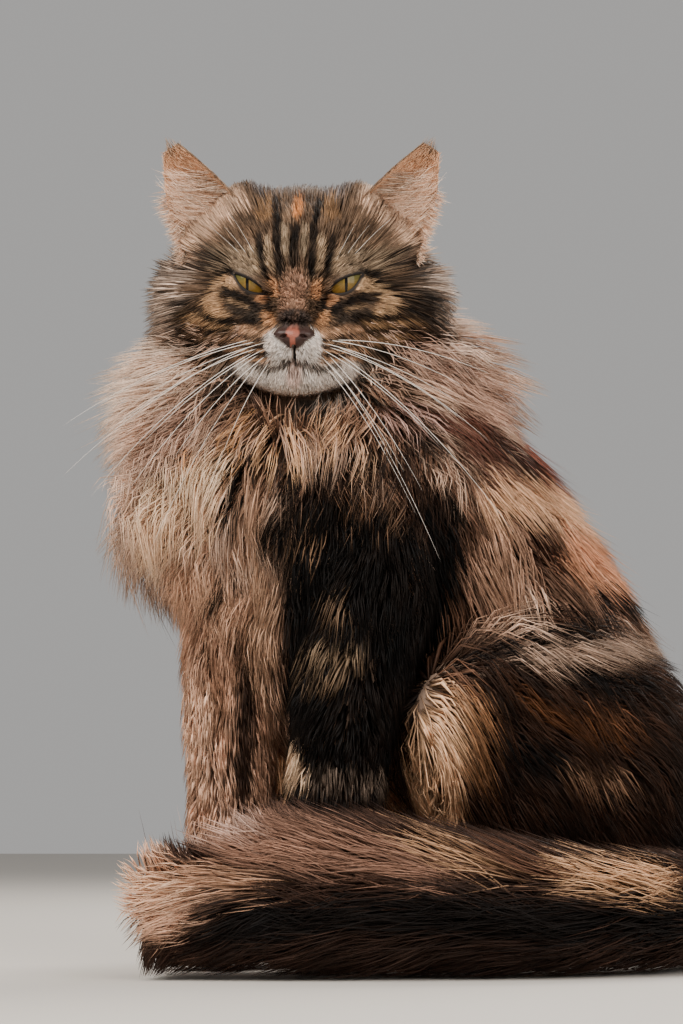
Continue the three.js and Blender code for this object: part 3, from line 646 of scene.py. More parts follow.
class Tabby(bpy.types.PropertyGroup):
    """Colours of what shows between the hair."""

    iris_low: bpy.props.FloatVectorProperty(
        name="Iris below", description="Amber", default=linear("#6b5224"), **COLOUR
    )
    iris_high: bpy.props.FloatVectorProperty(
        name="Iris above", description="Green", default=linear("#57562f"), **COLOUR
    )
    nose: bpy.props.FloatVectorProperty(
        name="Nose", description="Edge of the nose leather", default=linear("#33211d"), **COLOUR
    )
    lids: bpy.props.FloatVectorProperty(
        name="Lids", description="Bare rims of the lids", default=linear("#15100e"), **COLOUR
    )
    ear_inside: bpy.props.FloatVectorProperty(
        name="Ears inside", description="Skin in the cups", default=linear("#c99a78"), **COLOUR
    )
    ear_back: bpy.props.FloatVectorProperty(
        name="Ears behind", description="Their short fur", default=linear("#54463b"), **COLOUR
    )


class Coat(bpy.types.PropertyGroup):
    """Sizes of the coat."""

    amount: bpy.props.FloatProperty(
        name="Amount", description="Share of the full number of tufts", subtype="FACTOR",
        default=1.0, min=0.05, max=1.5,
    )
    clump: bpy.props.FloatProperty(
        name="Clump", description="How far tips are drawn into locks", subtype="FACTOR",
        default=1.0, min=0, max=1.5,
    )
    whisker: bpy.props.FloatProperty(
        name="Whisker", description="Longest whisker", unit="LENGTH",
        default=0.118, min=0.02, max=0.2,
    )


F_PIXELS = 2844.4  # a 100 mm lens over a 36 mm sensor, 1024 pixels long
CAMERA = np.array([0.0, -1560.0, 75.0])
CAMERA_PITCH = math.radians(6.28)
FRAME_MIDDLE = (341.5, 512.0)


def front(points):
    """Where points show in the front view, as column and row of a 683 x 1024 frame: the frame's
    middle plus the lens times the way across, or down, over the depth before the camera."""
    off = points - CAMERA
    c, s = math.cos(CAMERA_PITCH), math.sin(CAMERA_PITCH)
    depth = off[..., 1] * c + off[..., 2] * s
    up = off[..., 2] * c - off[..., 1] * s
    column = FRAME_MIDDLE[0] + F_PIXELS * off[..., 0] / depth
    return np.stack([column, FRAME_MIDDLE[1] - F_PIXELS * up / depth], -1)


def paint(ground, places, marks, broken=1.0):
    """Lays marks over the ground colours, one after the other. A mark is a colour, half width,
    softness, and both numbers of each corner of its line: full within the half width of the line,
    fading over the softness. broken is the marks' strength from place to place."""
    colour = ground.copy()
    for shade, wide, soft, *corners in marks:
        line = np.reshape(corners, (-1, 2))
        weight = (1 - smooth(0, soft, to_polyline(places, line) - wide)) * broken
        colour += (linear(shade) - colour) * weight[:, None]
    return colour


def two_sided(marks):
    """Marks of the head given for one side, and then the same mirrored across the nose."""
    other = [
        (*mark[:3], *(-n if k % 2 == 0 else n for k, n in enumerate(mark[3:]))) for mark in marks
    ]
    return marks + other


# Marks of the head, in its own frame: x to its left, z up from the eyes.
HEAD_MARKS = [
    # ruff behind the cheeks, crown and brows
    ("#c4ad9c", 7, 7, -77, 16, -79, -4, -86, -30),
    ("#c4ad9c", 7, 7, 83, 16, 86, -4, 90, -30),
    ("#c7a68c", 3, 5, -36, 48, -52, 36, -62, 20),
    ("#c7a68c", 3, 5, 37, 49, 54, 37, 67, 18),
    ("#66666c", 5, 6, -20, 59, 0, 61, 20, 59),
    ("#907c66", 4, 6, -48, 14, -34, 13, -24, 12),
    ("#907c66", 4, 6, 50, 14, 34, 13, 24, 12),
    ("#2e2621", 3, 5, -59, 10, -56, 20),
    ("#2e2621", 3.5, 5, 67, 7, 62, 18),
    ("#94704e", 2.5, 5, -18, 45, -19, 40),
    ("#94704e", 2.5, 5, 17, 44, 18, 40),
    ("#c8814a", 1.6, 2.0, -0.4, 47, -0.3, 39),
    # dark and cream lines of the forehead
    ("#1a1411", 1.2, 1.6, -21, 26, -19, 16, -17.6, 6),
    ("#1a1411", 1.5, 1.8, -13, 46, -11, 32, -10.2, 18, -9.6, 5),
    ("#1a1411", 1.9, 2.0, -1, 31, -1.4, 21, -1.2, 13),
    ("#1a1411", 1.5, 1.8, 11.5, 46, 9.4, 32, 8.7, 18, 8.4, 6),
    ("#1a1411", 1.2, 1.6, 20, 26, 18.4, 16, 17, 6),
    ("#a99176", 1.0, 1.7, -24.5, 19, -23, 9),
    ("#a99176", 1.1, 1.7, -15.8, 24, -14.6, 9),
    ("#97836c", 1.0, 1.7, -6.6, 31, -6.2, 18),
    ("#97836c", 1.0, 1.7, 4.4, 31, 4.2, 17),
    ("#a99176", 1.1, 1.7, 13.6, 25, 13, 9),
    ("#a99176", 1.0, 1.7, 24, 19, 22.4, 9),
    # round the eyes
    ("#c8a27c", 3.2, 3.0, -36, 1, -47, 1, -50, -9, -44, -17),
    ("#c3a17d", 3.2, 3.0, 36, 0, 48, -3, 53, -13, 45, -19),
    ("#2a231f", 2.3, 2.2, -42, -4.5, -31, -8.5, -21, -13),
    ("#473d35", 2.2, 2.4, -38, -13, -30, -15.5, -22, -18),
    ("#8f755b", 0.8, 1.4, -37, -9.5, -28, -12.5),
    ("#2a231f", 2.3, 2.2, 43, -7.5, 32, -10.5, 21, -14),
    ("#473d35", 2.4, 2.4, 38, -16.5, 26, -19.5),
    ("#8f755b", 0.8, 1.4, 38, -12, 28, -14.5),
    ("#17110f", 1.6, 1.5, -34, 5.8, -43, 7.2, -52, 1.6, -54.5, -7),
    ("#17110f", 1.6, 1.5, 34.5, 6, 46, 5.4, 57, -3.5, 64, -13, 70, -19),
    # cheeks: tan swirls and dark lines
    ("#be9a75", 3.0, 3.0, -66, -19, -52, -21, -40, -26),
    ("#a98763", 2.4, 2.6, 40, -22.5, 66, -22),
    ("#9a7a59", 2.4, 2.6, 40, -31, 62, -30),
    ("#94755a", 2.2, 2.6, -58, -30, -40, -31),
    ("#1f1814", 1.3, 1.4, 33, -20, 50, -19.5, 69, -19),
    ("#1f1814", 1.3, 1.4, 36, -27, 66, -26),
    ("#1f1814", 1.3, 1.4, -24, -21, -44, -21.5, -60, -16),
    ("#1f1814", 1.3, 1.4, -32, -28, -58, -26),
    ("#29211c", 4, 5, -69, -15, -70, -28),
    ("#29211c", 3.5, 4, -62, -35, -42, -38),
    ("#29211c", 4.5, 5, 76, -10, 75, -26),
    ("#29211c", 3.5, 4, 64, -36, 40, -42),
    # nose bridge
    ("#a27d66", 5.6, 4, -0.8, 1, -1.0, -13),
    ("#5c504b", 4.2, 3.0, -4, -19, 3, -19),
    ("#d09a70", 1.7, 1.8, -13.4, 1, -12.2, -5),
    ("#d09a70", 1.7, 1.8, 12.2, 0, 11.2, -6),
    ("#cb946b", 1.6, 1.8, -20.5, -7.6, -17.5, -8.6),
    ("#cb946b", 1.6, 1.8, 20.5, -8.4, 17.5, -9.4),
    ("#be8f68", 2.2, 2.4, -16, -17, -13, -24),
    ("#be8f68", 2.2, 2.4, 16, -18, 14, -25),
    ("#120e0d", 1.3, 1.5, -16.8, -6, -15.4, -14),
    ("#120e0d", 1.3, 1.5, 16.4, -6, 14.6, -14),
    # muzzle
    *two_sided([("#d0a684", 8.5, 3.5, -29, -33, -19, -36)]),
    ("#fbf3ec", 6.4, 2.4, -9.5, -32, -8, -38),
    ("#fbf3ec", 6.4, 2.4, 9, -32, 8, -38),
    *two_sided([
        ("#2c2019", 0.95, 1.0, -17, -30, -37, -28.5),
        ("#2c2019", 0.95, 1.0, -17, -34, -38, -33.5),
        ("#2c2019", 0.95, 1.0, -16, -38.2, -37, -39),
    ]),
    ("#96877a", 14, 6, -44, -80, 44, -80),
    ("#f7ece2", 11, 4, -27, -55, 0, -57, 27, -55),
    ("#cdb3a7", 3, 3, 0, -46, 0, -53),
    ("#5a4d46", 0.5, 1.5, -24, -43.5, -14, -46.5, 0, -42.5, 14, -46.5, 24, -43.5),
]
NOSE_MARKS = [
    ("#8a4f40", 1.7, 1.2, -1.8, -26, 0.8, -26),
    ("#8a4f40", 0.9, 1.0, -0.5, -28, -0.4, -33.5),
]

# Marks of the body where they show in the front view, as column and row.
RUFF_MARKS = [
    ("#e8cdb8", 24, 22, 150, 360, 116, 412),
    ("#c9a793", 16, 18, 125, 460, 170, 430),
    ("#dcbca6", 8, 10, 104, 440, 118, 520),
    ("#7c6658", 8, 10, 163, 322, 172, 335),
    ("#b59380", 20, 16, 440, 345, 480, 385, 508, 410),
    ("#d9bdaa", 10, 12, 450, 300, 480, 360),
    ("#91705b", 26, 18, 235, 410, 310, 422, 390, 425),
    ("#4a372d", 6, 8, 215, 395, 255, 394),
    ("#5d554e", 6, 8, 300, 396, 350, 396),
    ("#2a1c15", 12, 12, 255, 470, 300, 505, 350, 490, 400, 460),
    ("#e0b48c", 3.4, 4, 262, 425, 256, 450, 266, 482),
    ("#dbb08a", 3.6, 4, 288, 428, 300, 455, 292, 484),
    ("#d3a985", 3.2, 4, 318, 412, 330, 440, 322, 465),
    ("#d0a98a", 3.4, 4, 340, 430, 358, 462, 364, 492),
    ("#bf9a80", 3.2, 4, 365, 425, 388, 458, 398, 480),
    ("#c4956c", 5, 6, 232, 432, 222, 458, 236, 476),
    ("#b08b72", 12, 10, 245, 505, 250, 550),
    ("#c98a50", 6, 6, 190, 470, 214, 480),
    ("#ffe0bf", 16, 9, 145, 528, 182, 505, 206, 482),
    ("#ffd8b4", 13, 9, 150, 555, 200, 535),
    ("#1a100b", 4, 5, 224, 482, 232, 500, 226, 540),
    ("#cfae98", 6, 8, 100, 530, 125, 520),
    ("#d0a78b", 16, 12, 180, 590, 225, 620, 235, 660),
    ("#b8968a", 10, 10, 400, 425, 440, 430),
    ("#2b1e18", 8, 10, 410, 458, 440, 450),
    ("#1d130d", 20, 12, 282, 545, 335, 535, 395, 535),
    ("#35231a", 18, 12, 405, 490, 432, 520, 455, 560),
    ("#6d463a", 14, 12, 478, 436, 500, 462, 520, 500),
    ("#7a5f4c", 2.5, 4, 300, 520, 310, 548),
    ("#7a5f4c", 2.5, 4, 345, 515, 350, 545),
    ("#7a5f4c", 2.5, 4, 385, 505, 398, 535),
]
CHEST_MARKS = [
    ("#d3aa8e", 20, 14, 190, 590, 215, 650, 225, 740),
    # painted shade: the dark gaps between the chest and the cat's right foreleg, in this mark and
    # the next
    ("#2a1c14", 6, 6, 232, 590, 212, 610),
    ("#4a3325", 3, 6, 240, 640, 236, 700, 244, 780),
    ("#e0b296", 14, 10, 205, 700, 215, 790),
    # painted shade: near black where the chest lies behind the cat's left foreleg
    ("#0e0906", 60, 30, 345, 560, 355, 700),
    ("#b8947a", 9, 8, 250, 560, 262, 640, 262, 720),
    ("#8d6e55", 2.5, 4, 279, 552, 296, 556, 315, 563),
    ("#6a4e3a", 5, 8, 350, 505, 395, 520),
]
FORELEG_RIGHT_MARKS = [
    # painted shade: a dark line at the leg's edge by the chest, and a darker band down the leg in
    # the next mark
    ("#3a271d", 5, 9, 250, 640, 247, 720, 244, 800),
    ("#8c6852", 6, 9, 200, 640, 214, 690, 212, 740),
    ("#e0b79b", 8, 9, 196, 700, 200, 790),
]
FORELEG_MARKS = [
    ("#b3937a", 8, 8, 262, 620, 268, 720),
    ("#6f5946", 4, 7, 296, 606, 318, 612, 340, 628),
    ("#86705a", 4, 7, 294, 668, 325, 662, 358, 668),
    ("#75604c", 3, 7, 290, 692, 320, 692, 352, 684),
    ("#dcbc9c", 8, 8, 286, 768, 296, 786),
    ("#66574c", 7, 10, 315, 790, 380, 792),
    ("#6e5542", 4, 7, 345, 530, 400, 534),
]
FLANK_MARKS = [
    ("#8a5040", 12, 12, 480, 418, 530, 445, 572, 478),
    ("#3a241b", 6, 8, 494, 440, 520, 460, 540, 476),
    ("#f6c6a0", 15, 12, 505, 512, 545, 508, 590, 522),
    ("#dc9f7c", 17, 12, 590, 560, 622, 580),
    ("#b38d75", 20, 14, 505, 560, 515, 610),
    ("#402417", 10, 9, 552, 552, 560, 570),
    ("#cbaa93", 10, 9, 530, 612, 552, 632),
    ("#1c110c", 9, 7, 648, 600, 610, 622, 575, 650, 530, 655, 500, 672),
    ("#a08674", 9, 8, 545, 670, 590, 664, 640, 652, 672, 642),
    # painted shade: the near-black gap between the cat's left foreleg and the haunch
    ("#0e0805", 17, 10, 440, 510, 448, 580, 432, 660),
    ("#6b4c3a", 10, 10, 462, 620, 468, 690),
]
HAUNCH_MARKS = [
    ("#b38d75", 18, 14, 500, 580, 515, 620),
    ("#cbaa93", 10, 9, 530, 615, 552, 635),
    ("#1c110c", 9, 7, 648, 600, 610, 622, 575, 650, 530, 655, 500, 672),
    ("#a08674", 9, 8, 545, 668, 590, 662, 640, 650, 672, 640),
    ("#5c381f", 4, 8, 530, 702, 555, 720, 590, 735, 630, 745),
    ("#120a06", 9, 9, 600, 690, 650, 690),
    ("#63402a", 4, 6, 600, 720, 640, 732),
    ("#110a06", 9, 9, 520, 770, 560, 765),
    ("#7d5f4a", 5, 8, 580, 785, 610, 800, 640, 785),
    ("#6b4c3a", 12, 12, 462, 620, 470, 690),
    ("#e4b892", 24, 12, 444, 715, 438, 790, 436, 830),
    ("#8d6547", 8, 8, 490, 720, 486, 790),
]
TAIL_MARKS = [
    ("#8d6a58", 22, 16, 230, 835, 310, 845, 400, 862),
    ("#b39586", 8, 10, 190, 822, 240, 816),
    ("#dcb195", 24, 18, 130, 860, 148, 910),
    ("#e8c2a4", 10, 12, 122, 880, 160, 895),
    ("#c0967a", 10, 14, 190, 880, 240, 890),
    ("#b8906f", 9, 9, 400, 838, 440, 850, 470, 862),
    ("#6b4b3a", 10, 12, 480, 850, 530, 866),
    ("#caa07c", 14, 12, 560, 870, 610, 876, 650, 880),
    # painted shade: a near-black band along the lower side of the brush
    ("#160d09", 16, 12, 210, 932, 320, 916, 420, 914, 540, 922, 660, 927),
    ("#3b261c", 6, 9, 250, 892, 380, 888),
]


def mirror_in(girdle, points):
    """Points mirrored in a girdle's own middle plane: less twice their way to its left."""
    left = left_of(girdle)
    off = (points - girdle["middle"]) @ left
    return points - 2 * off[:, None] * left


WAVES, WAVES_HIGH = 6, 3.2


def hills(points, size, seed):
    """A smooth field between about -1 and 1: six sine waves, each along a direction of its own
    and of about the given length in mm, added and scaled down."""
    draw = np.random.default_rng(seed)
    total = np.zeros(len(points))
    for _ in range(WAVES):
        wave = unit(draw.normal(size=3)) * FULL / (size * draw.uniform(0.7, 1.4))
        total += np.sin(points @ wave + draw.uniform(0, FULL))
    return total / WAVES_HIGH


def ground_of(places, hexes, size, seed):
    """Two colours mixed by a smooth field, for places that no mark covers."""
    field = hills(places, size, seed) * 0.5 + 0.5
    a, b = linear(hexes[0]), linear(hexes[1])
    return a + (b - a) * np.clip(field, 0, 1)[:, None]


# A form's ground: two colours, the length in mm of the field that mixes them, its seed, and the
# marks over it. BEHIND is the ground where the form faces away from the view.
PALE_GROUND, DARK_GROUND = ("#cfa489", "#b78e74"), ("#0c0705", "#1f140e")
COATS = {
    "neck": (("#ae8f7c", "#c6a892"), 50, 1, RUFF_MARKS),
    "chest": (PALE_GROUND, 40, 3, CHEST_MARKS),
    "foreleg_right": (("#cfa489", "#a88068"), 26, 3, FORELEG_RIGHT_MARKS),
    "forepaw_right": (PALE_GROUND, 40, 3, []),
    "foreleg_left": (DARK_GROUND, 30, 4, FORELEG_MARKS),
    "forepaw_left": (DARK_GROUND, 30, 4, FORELEG_MARKS),
    "tail": (("#483228", "#33221a"), 40, 5, TAIL_MARKS),
    "trunk": (("#54392c", "#a5806a"), 42, 6, FLANK_MARKS),
    "haunch": (("#21130b", "#432a1c"), 30, 7, HAUNCH_MARKS),
    "hindpaw": (("#c79a76", "#a57e60"), 30, 7, []),
}
BEHIND = {"neck": (("#664b3c", "#a98970"), 30, 2), "chest": (("#3a281e", "#7d5f4b"), 30, 2)}


def coat_colour(name, places, normals):
    """The coat's colour at places of the named form, the same for its tufts and for the skin: the
    ground with its marks as they show in the front view. The hidden side of the trunk and the
    hindlegs is the seen side's, mirrored."""
    if name == "head":
        return head_colour(places)
    kind = name if name in COATS else name.split("_")[0]
    hexes, size, seed, marks = COATS[kind]
    shown = places
    if kind in ("trunk", "haunch", "hindpaw"):
        hidden = (places - HIPS["middle"]) @ left_of(HIPS) < 0
        shown = np.where(hidden[:, None], mirror_in(HIPS, places), places)
    colour = paint(ground_of(places, hexes, size, seed), front(shown), marks)
    if kind in BEHIND:
        away = smooth(0.15, 0.75, normals[:, 1])[:, None]
        colour = colour + (ground_of(places, *BEHIND[kind]) - colour) * away
    return colour


def head_colour(places):
    """The head's markings, told by x and z in its own frame and broken up a little by a field,
    and the plain back of the head from 22 to 48 mm behind the eyes."""
    own = into_head(places)
    ground = ground_of(places, ("#7c6450", "#5f4a39"), 14, 8)
    broken = np.clip(0.9 + 0.22 * hills(places, 6, 10), 0.6, 1)
    face = paint(ground, own[:, [0, 2]], HEAD_MARKS, broken)
    crown = ground_of(places, ("#4a3b31", "#6b5544"), 22, 9)
    behind = smooth(22, 48, own[:, 1])[:, None]
    return face + (crown - face) * behind


# ---- Meshes.
def link(name, mesh, material):
    """A piece of the cat: its object at the origin, riding on the frame's one body."""
    piece = bpy.data.objects.new(name, mesh)
    bpy.context.scene.collection.objects.link(piece)
    piece.data.materials.append(material)
    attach(piece, "root")
    return piece


def mesh_of(name, points, triangles, colours=None, uv=None):
    """A mesh from arrays: points in mm of the view's frame, triangles, a colour for each point
    and a place on the OFBake map for each point."""
    mesh = bpy.data.meshes.new(name)
    mesh.vertices.add(len(points))
    mesh.vertices.foreach_set("co", to_metres(points).astype(np.float32).ravel())
    mesh.loops.add(3 * len(triangles))
    mesh.loops.foreach_set("vertex_index", triangles.astype(np.int32).ravel())
    mesh.polygons.add(len(triangles))
    mesh.polygons.foreach_set("loop_start", np.arange(len(triangles), dtype=np.int32) * 3)
    mesh.polygons.foreach_set("use_smooth", np.ones(len(triangles), bool))
    mesh.update(calc_edges=True)
    if colours is not None:
        layer = mesh.color_attributes.new("coat", "FLOAT_COLOR", "POINT")
        layer.data.foreach_set("color", colours.astype(np.float32).ravel())
    if uv is not None:
        layer = mesh.uv_layers.new(name="OFBake")
        layer.data.foreach_set("uv", uv[triangles.ravel()].astype(np.float32).ravel())
    mesh.validate()
    return mesh


def grid_triangles(rows, columns):
    """Triangles of a grid of rows x columns points, closed round: two for each four points."""
    i, j = np.meshgrid(np.arange(rows - 1), np.arange(columns), indexing="ij")
    a = i * columns + j
    b = i * columns + (j + 1) % columns
    c, d = b + columns, a + columns
    return np.stack([a, b, c, a, c, d], -1).reshape(-1, 3)


def capped_triangles(rows, columns):
    """The same, closed at both ends by a fan to one more point each, which follow the grid's."""
    n, j = rows * columns, np.arange(columns)
    k = (j + 1) % columns
    first = np.stack([np.full(columns, n), k, j], -1)
    base = (rows - 1) * columns
    last = np.stack([np.full(columns, n + 1), base + j, base + k], -1)
    return np.concatenate([grid_triangles(rows, columns), first, last])


def joined(parts):
    """Several (points, triangles) as one, each with its triangles moved on by the points before."""
    points, triangles, base = [], [], 0
    for p, t in parts:
        points.append(p)
        triangles.append(t + base)
        base += len(p)
    return np.concatenate(points), np.concatenate(triangles)


# ---- Tufts.
PROFILE = {2: (0.75, 1.0), 3: (0.6, 1.0, 0.72)}  # a blade's width at each of its rings
THICK, ROLL = 0.55, 0.5  # a blade's thickness to its width, and how far it turns by chance
PATCH = 0.0028  # side of a blade's place on the unwrap


def tuft_mesh(name, paths, outs, wide, colours, uv, seed):
    """Closed three-sided blades along paths of rings + 1 points, ending in a point.

    A ring at a path's point is (middle + w side, middle - w side, middle + h face), with side
    square to the path and to the direction out of the coat, face square to both, and the two
    turned a little about the path.
    """
    count, length = paths.shape[:2]
    rings = length - 1
    draw = np.random.default_rng(seed)
    ahead = np.empty_like(paths)
    ahead[:, 1:-1] = paths[:, 2:] - paths[:, :-2]
    ahead[:, 0] = paths[:, 1] - paths[:, 0]
    ahead[:, -1] = paths[:, -1] - paths[:, -2]
    along = unit(ahead[:, :rings])
    side = unit(np.cross(along, outs[:, None, :]))
    face = np.cross(side, along)
    angle = draw.normal(0, ROLL, count)[:, None, None]
    c, s = np.cos(angle), np.sin(angle)
    side, face = side * c + face * s, face * c - side * s
    w = wide[:, None, None] * np.array(PROFILE[rings])[None, :, None]
    middle = paths[:, :rings]
    ring = np.stack([middle + w * side, middle - w * side, middle + 2 * THICK * w * face], 2)
    points = np.concatenate([ring.reshape(count, 3 * rings, 3), paths[:, -1:]], 1)
    own = [(0, 1, 2)]  # one blade's triangles: its root, its sides and its point
    for r in range(rings - 1):
        for k in range(3):
            a, b = 3 * r + k, 3 * r + (k + 1) % 3
            own += [(a, a + 3, b), (b, a + 3, b + 3)]
    for k in range(3):
        own.append((3 * (rings - 1) + k, 3 * rings, 3 * (rings - 1) + (k + 1) % 3))
    each = 3 * rings + 1
    triangles = (np.array(own)[None] + (np.arange(count) * each)[:, None, None]).reshape(-1, 3)
    at = np.append(np.repeat(np.arange(rings), 3), rings)  # the path's point that each belongs to
    shade = colours[:, at]
    up = np.append(np.tile([0.0, 0.5, 1.0], rings), 0.5)
    place = uv[:, None, :] + np.stack([at / rings * PATCH, up * PATCH], -1)[None]
    return mesh_of(
        name, points.reshape(-1, 3), triangles, shade.reshape(-1, 4), place.reshape(-1, 2)
    )


def halton(count, base):
    """The van der Corput sequence in a base: the digits of 1, 2, 3 ... mirrored in the point."""
    i = np.arange(1, count + 1)
    value, scale = np.zeros(count), 1.0
    while i.any():
        scale /= base
        value += scale * (i % base)
        i //= base
    return value


# The hair's brightness is spread so that deep locks stay dark: times a gain and its own power.
CONTRAST, CONTRAST_GAIN, BRIGHTEST = 0.16, 1.25, 0.88
DARKEST = 0.0015

# Shares of the coat's depth: where roots are spread, where a tuft's run is measured, its own root,
# and the least and the most that chance adds to the share of its tip.
SPREAD_AT, RUN_AT, ROOT_AT, TIP_CHANCE = 0.6, 0.3, 1.06, (-0.22, 0.3)
CHUNK = 4000  # tufts whose leaders are looked up at a time
PLACES_TO_ROOT = 5  # places tried for each tuft


class Growth:
    """Roots and paths of tufts on a body form or on the head."""

    def __init__(self, name, point):
        self.name, self.point = name, point

    def roots(self, count, window, seed, density):
        """Evenly spread roots: a low-discrepancy set over the form's two parameters, thinned by
        the area that each stands for and by the density, less those buried in another form."""
        (t0, t1), (r0, r1) = window
        draw = np.random.default_rng(seed)
        many = count * PLACES_TO_ROOT + 64
        t = t0 + (t1 - t0) * halton(many, 2)
        r = r0 + (r1 - r0) * halton(many, 3)
        here = self.point(t, r, SPREAD_AT)
        by_t = self.point(t + 0.002, r, SPREAD_AT) - here
        by_r = self.point(t, r + 0.01, SPREAD_AT) - here
        area = np.linalg.norm(np.cross(by_t, by_r), axis=-1)
        if density is not None:
            area = area * density(t, r, here)
        area *= ~self.buried(t, r)
        keep = draw.random(many) < area / np.quantile(area, 0.97)
        t, r = t[keep], r[keep]
        pick = draw.permutation(len(t))[:count]
        return t[pick], r[pick]

    def buried(self, t, r):
        """True where the coat's middle lies over 3 mm inside another form's flesh."""
        place = self.place(t, r, 0.45)
        hidden = np.zeros(len(t), bool)
        for name, form in FORMS.items():
            if name != self.name:
                hidden |= form.away(place, 0.7) < -3
        if self.name != "head":
            hidden |= head_away(into_head(place), 0.7) < -3
        return hidden

    def place(self, t, r, share):
        """The form's point in the view's frame."""
        points = self.point(t, r, share)
        return out_of_head(points) if self.name == "head" else points

    def grow(
        self, count, window, seed, length, rings, tip, lift, gravity, swirl, wave=0.0, clump=0.0,
        clumps=0, density=None, turned=None, drop=0.0, hides=None,
    ):
        """Paths of tufts that leave the skin and bend over to lie along the form.

        From its root a tuft runs on by its length along the form's first parameter, turned
        towards the ground by gravity and by a smooth swirl, while its share of the coat's depth
        falls from 1 to tip as 1 - (1 - tip) (1 - (1 - s) ** lift). Tips are then drawn to the
        nearest of some leading tufts, and waved, and the tuft sags by drop. Tufts that would hide
        what hides tells are left out.
        """
        draw = np.random.default_rng(seed)
        t, r = self.roots(int(count * coat_settings().amount), window, seed + 1, density)
        n = len(t)
        here = self.place(t, r, RUN_AT)
        e = 0.004
        by_t = (self.place(t + e, r, RUN_AT) - self.place(t - e, r, RUN_AT)) / (2 * e)
        by_r = (self.place(t, r + e, RUN_AT) - self.place(t, r - e, RUN_AT)) / (2 * e)
        fast_t = np.maximum(np.linalg.norm(by_t, axis=-1), 5)
        fast_r = np.maximum(np.linalg.norm(by_r, axis=-1), 5)
        down = np.stack([-by_t[:, 2] / fast_t, -by_r[:, 2] / fast_r], -1)
        flow = unit(np.array([1.0, 0.0]) * (1 - gravity) + down * gravity)
        angle = 0 if turned is None else turned(t, r, here)
        angle = angle + swirl * hills(here, 45, seed + 2) + draw.normal(0, 0.09, n)
        c, s = np.cos(angle), np.sin(angle)
        flow = np.stack([flow[:, 0] * c - flow[:, 1] * s, flow[:, 0] * s + flow[:, 1] * c], -1)
        size = (length(t, r, here) if callable(length) else length) * draw.uniform(0.75, 1.25, n)
        chance = np.clip(draw.normal(0, 0.12, n), *TIP_CHANCE)
        ends = (tip(t, r, here) if callable(tip) else tip) + chance
        step = np.linspace(0, 1, rings + 1)[None]
        ts = t[:, None] + (flow[:, 0] * size / fast_t)[:, None] * step
        rs = r[:, None] + (flow[:, 1] * size / fast_r)[:, None] * step
        share = 1 - (1 - ends)[:, None] * (1 - (1 - step) ** lift)
        share[:, 0] = ROOT_AT
        paths = self.place(ts.ravel(), rs.ravel(), share.ravel()).reshape(n, rings + 1, 3)
        outs = unit(self.place(t, r, 0.0) - self.place(t, r, 1.0))
        if hides is not None:
            kept = ~hides(paths)
            t, r, here, size, paths, outs = (a[kept] for a in (t, r, here, size, paths, outs))
            n = len(t)
        self.t, self.r, self.here, self.size = t, r, here, size
        self.lead = np.arange(n)
        if clumps:
            self.lead = self.leaders(draw.permutation(n)[:clumps])
            much = clump * coat_settings().clump * step[..., None] ** 1.4
            pull = much * draw.uniform(0.6, 1.1, n)[:, None, None]
            paths = paths + (paths[self.lead] - paths) * np.clip(pull, 0, 0.95)
        if wave > 0:
            side = unit(np.cross(paths[:, -1] - paths[:, 0], outs))
            phase = draw.uniform(0, FULL, n)[self.lead] + draw.normal(0, 0.3, n)
            much = wave * draw.uniform(0.5, 1.2, n)[:, None] * step
            swing = np.sin(phase[:, None] + step * FULL * 0.9) - np.sin(phase)[:, None]
            paths = paths + (side[:, None] * (much * swing)[..., None])
        paths[..., 2] -= drop * (1 + draw.normal(0, 0.2, n))[:, None] * step**1.4
        paths[..., 2] = np.maximum(paths[..., 2], 0.5 + 0.9 * draw.random(n)[:, None])
        return paths, outs

    def leaders(self, lead):
        """For each tuft the nearest of the leading ones."""
        nearest = np.empty(len(self.here), int)
        for start in range(0, len(nearest), CHUNK):
            part = self.here[start : start + CHUNK, None] - self.here[lead][None]
            nearest[start : start + CHUNK] = (part**2).sum(-1).argmin(1)
        return lead[nearest]

    def shades(self, paths, outs, seed, grizzle, root, tip, ticked, shift, locks=0.22):
        """A colour for each ring and tip: the markings where the tuft shows, the same along it,
        darker at the root by root, as painted shade deep in the coat, and lighter at its tip,
        with chance from tuft to tuft and from lock to lock. ticked is the share of tufts with a
        dark tip, and shift, in mm, blurs the markings. The fourth number is how far along the
        tuft it is."""
        draw = np.random.default_rng(seed)
        n, length = paths.shape[:2]
        shown = paths[:, -1] * 0.55 + paths[:, length // 2] * 0.45
        shown = shown + draw.normal(0, shift, shown.shape)
        colour = coat_colour(self.name, shown, outs)
        light = np.exp(draw.normal(0, grizzle, n) + draw.normal(0, grizzle, n)[self.lead])
        step = np.linspace(0, 1, length)[None]
        # painted shade: each tuft darker towards its root, deep in the coat
        along = root + (1 - root) * smooth(0.0, 0.55, step) + (tip - 1) * smooth(0.6, 1, step)
        light = light * np.exp(locks * hills(self.here, 15, seed + 1))
        value = colour[:, None] * (light[:, None] * along)[..., None]
        dark = (draw.random(n) < ticked)[:, None] * smooth(0.55, 0.9, step)
        value = value * (1 - 0.75 * dark[..., None])
        value = value * CONTRAST_GAIN * value.mean(-1, keepdims=True) ** CONTRAST
        value = value * np.minimum(1, BRIGHTEST / value.max(-1, keepdims=True))
        return with_step(np.maximum(value, DARKEST), step)


def with_step(value, step):
    """Colours along tufts, with how far along they are as their fourth number."""
    return np.concatenate([value, np.broadcast_to(step[..., None], value.shape[:2] + (1,))], -1)


def coat_settings():
    """The panel's sizes of the coat."""
    return bpy.context.scene.cat_coat


def map_place(t, r, tile, tiles):
    """A root's place on the unwrap: the form's first parameter across its tile, the angle up it."""
    across = (tile + 0.02 + 0.94 * np.clip(t, 0, 1)) / tiles
    return np.stack([across, 0.01 + 0.97 * ((r / FULL) % 1.0)], -1)


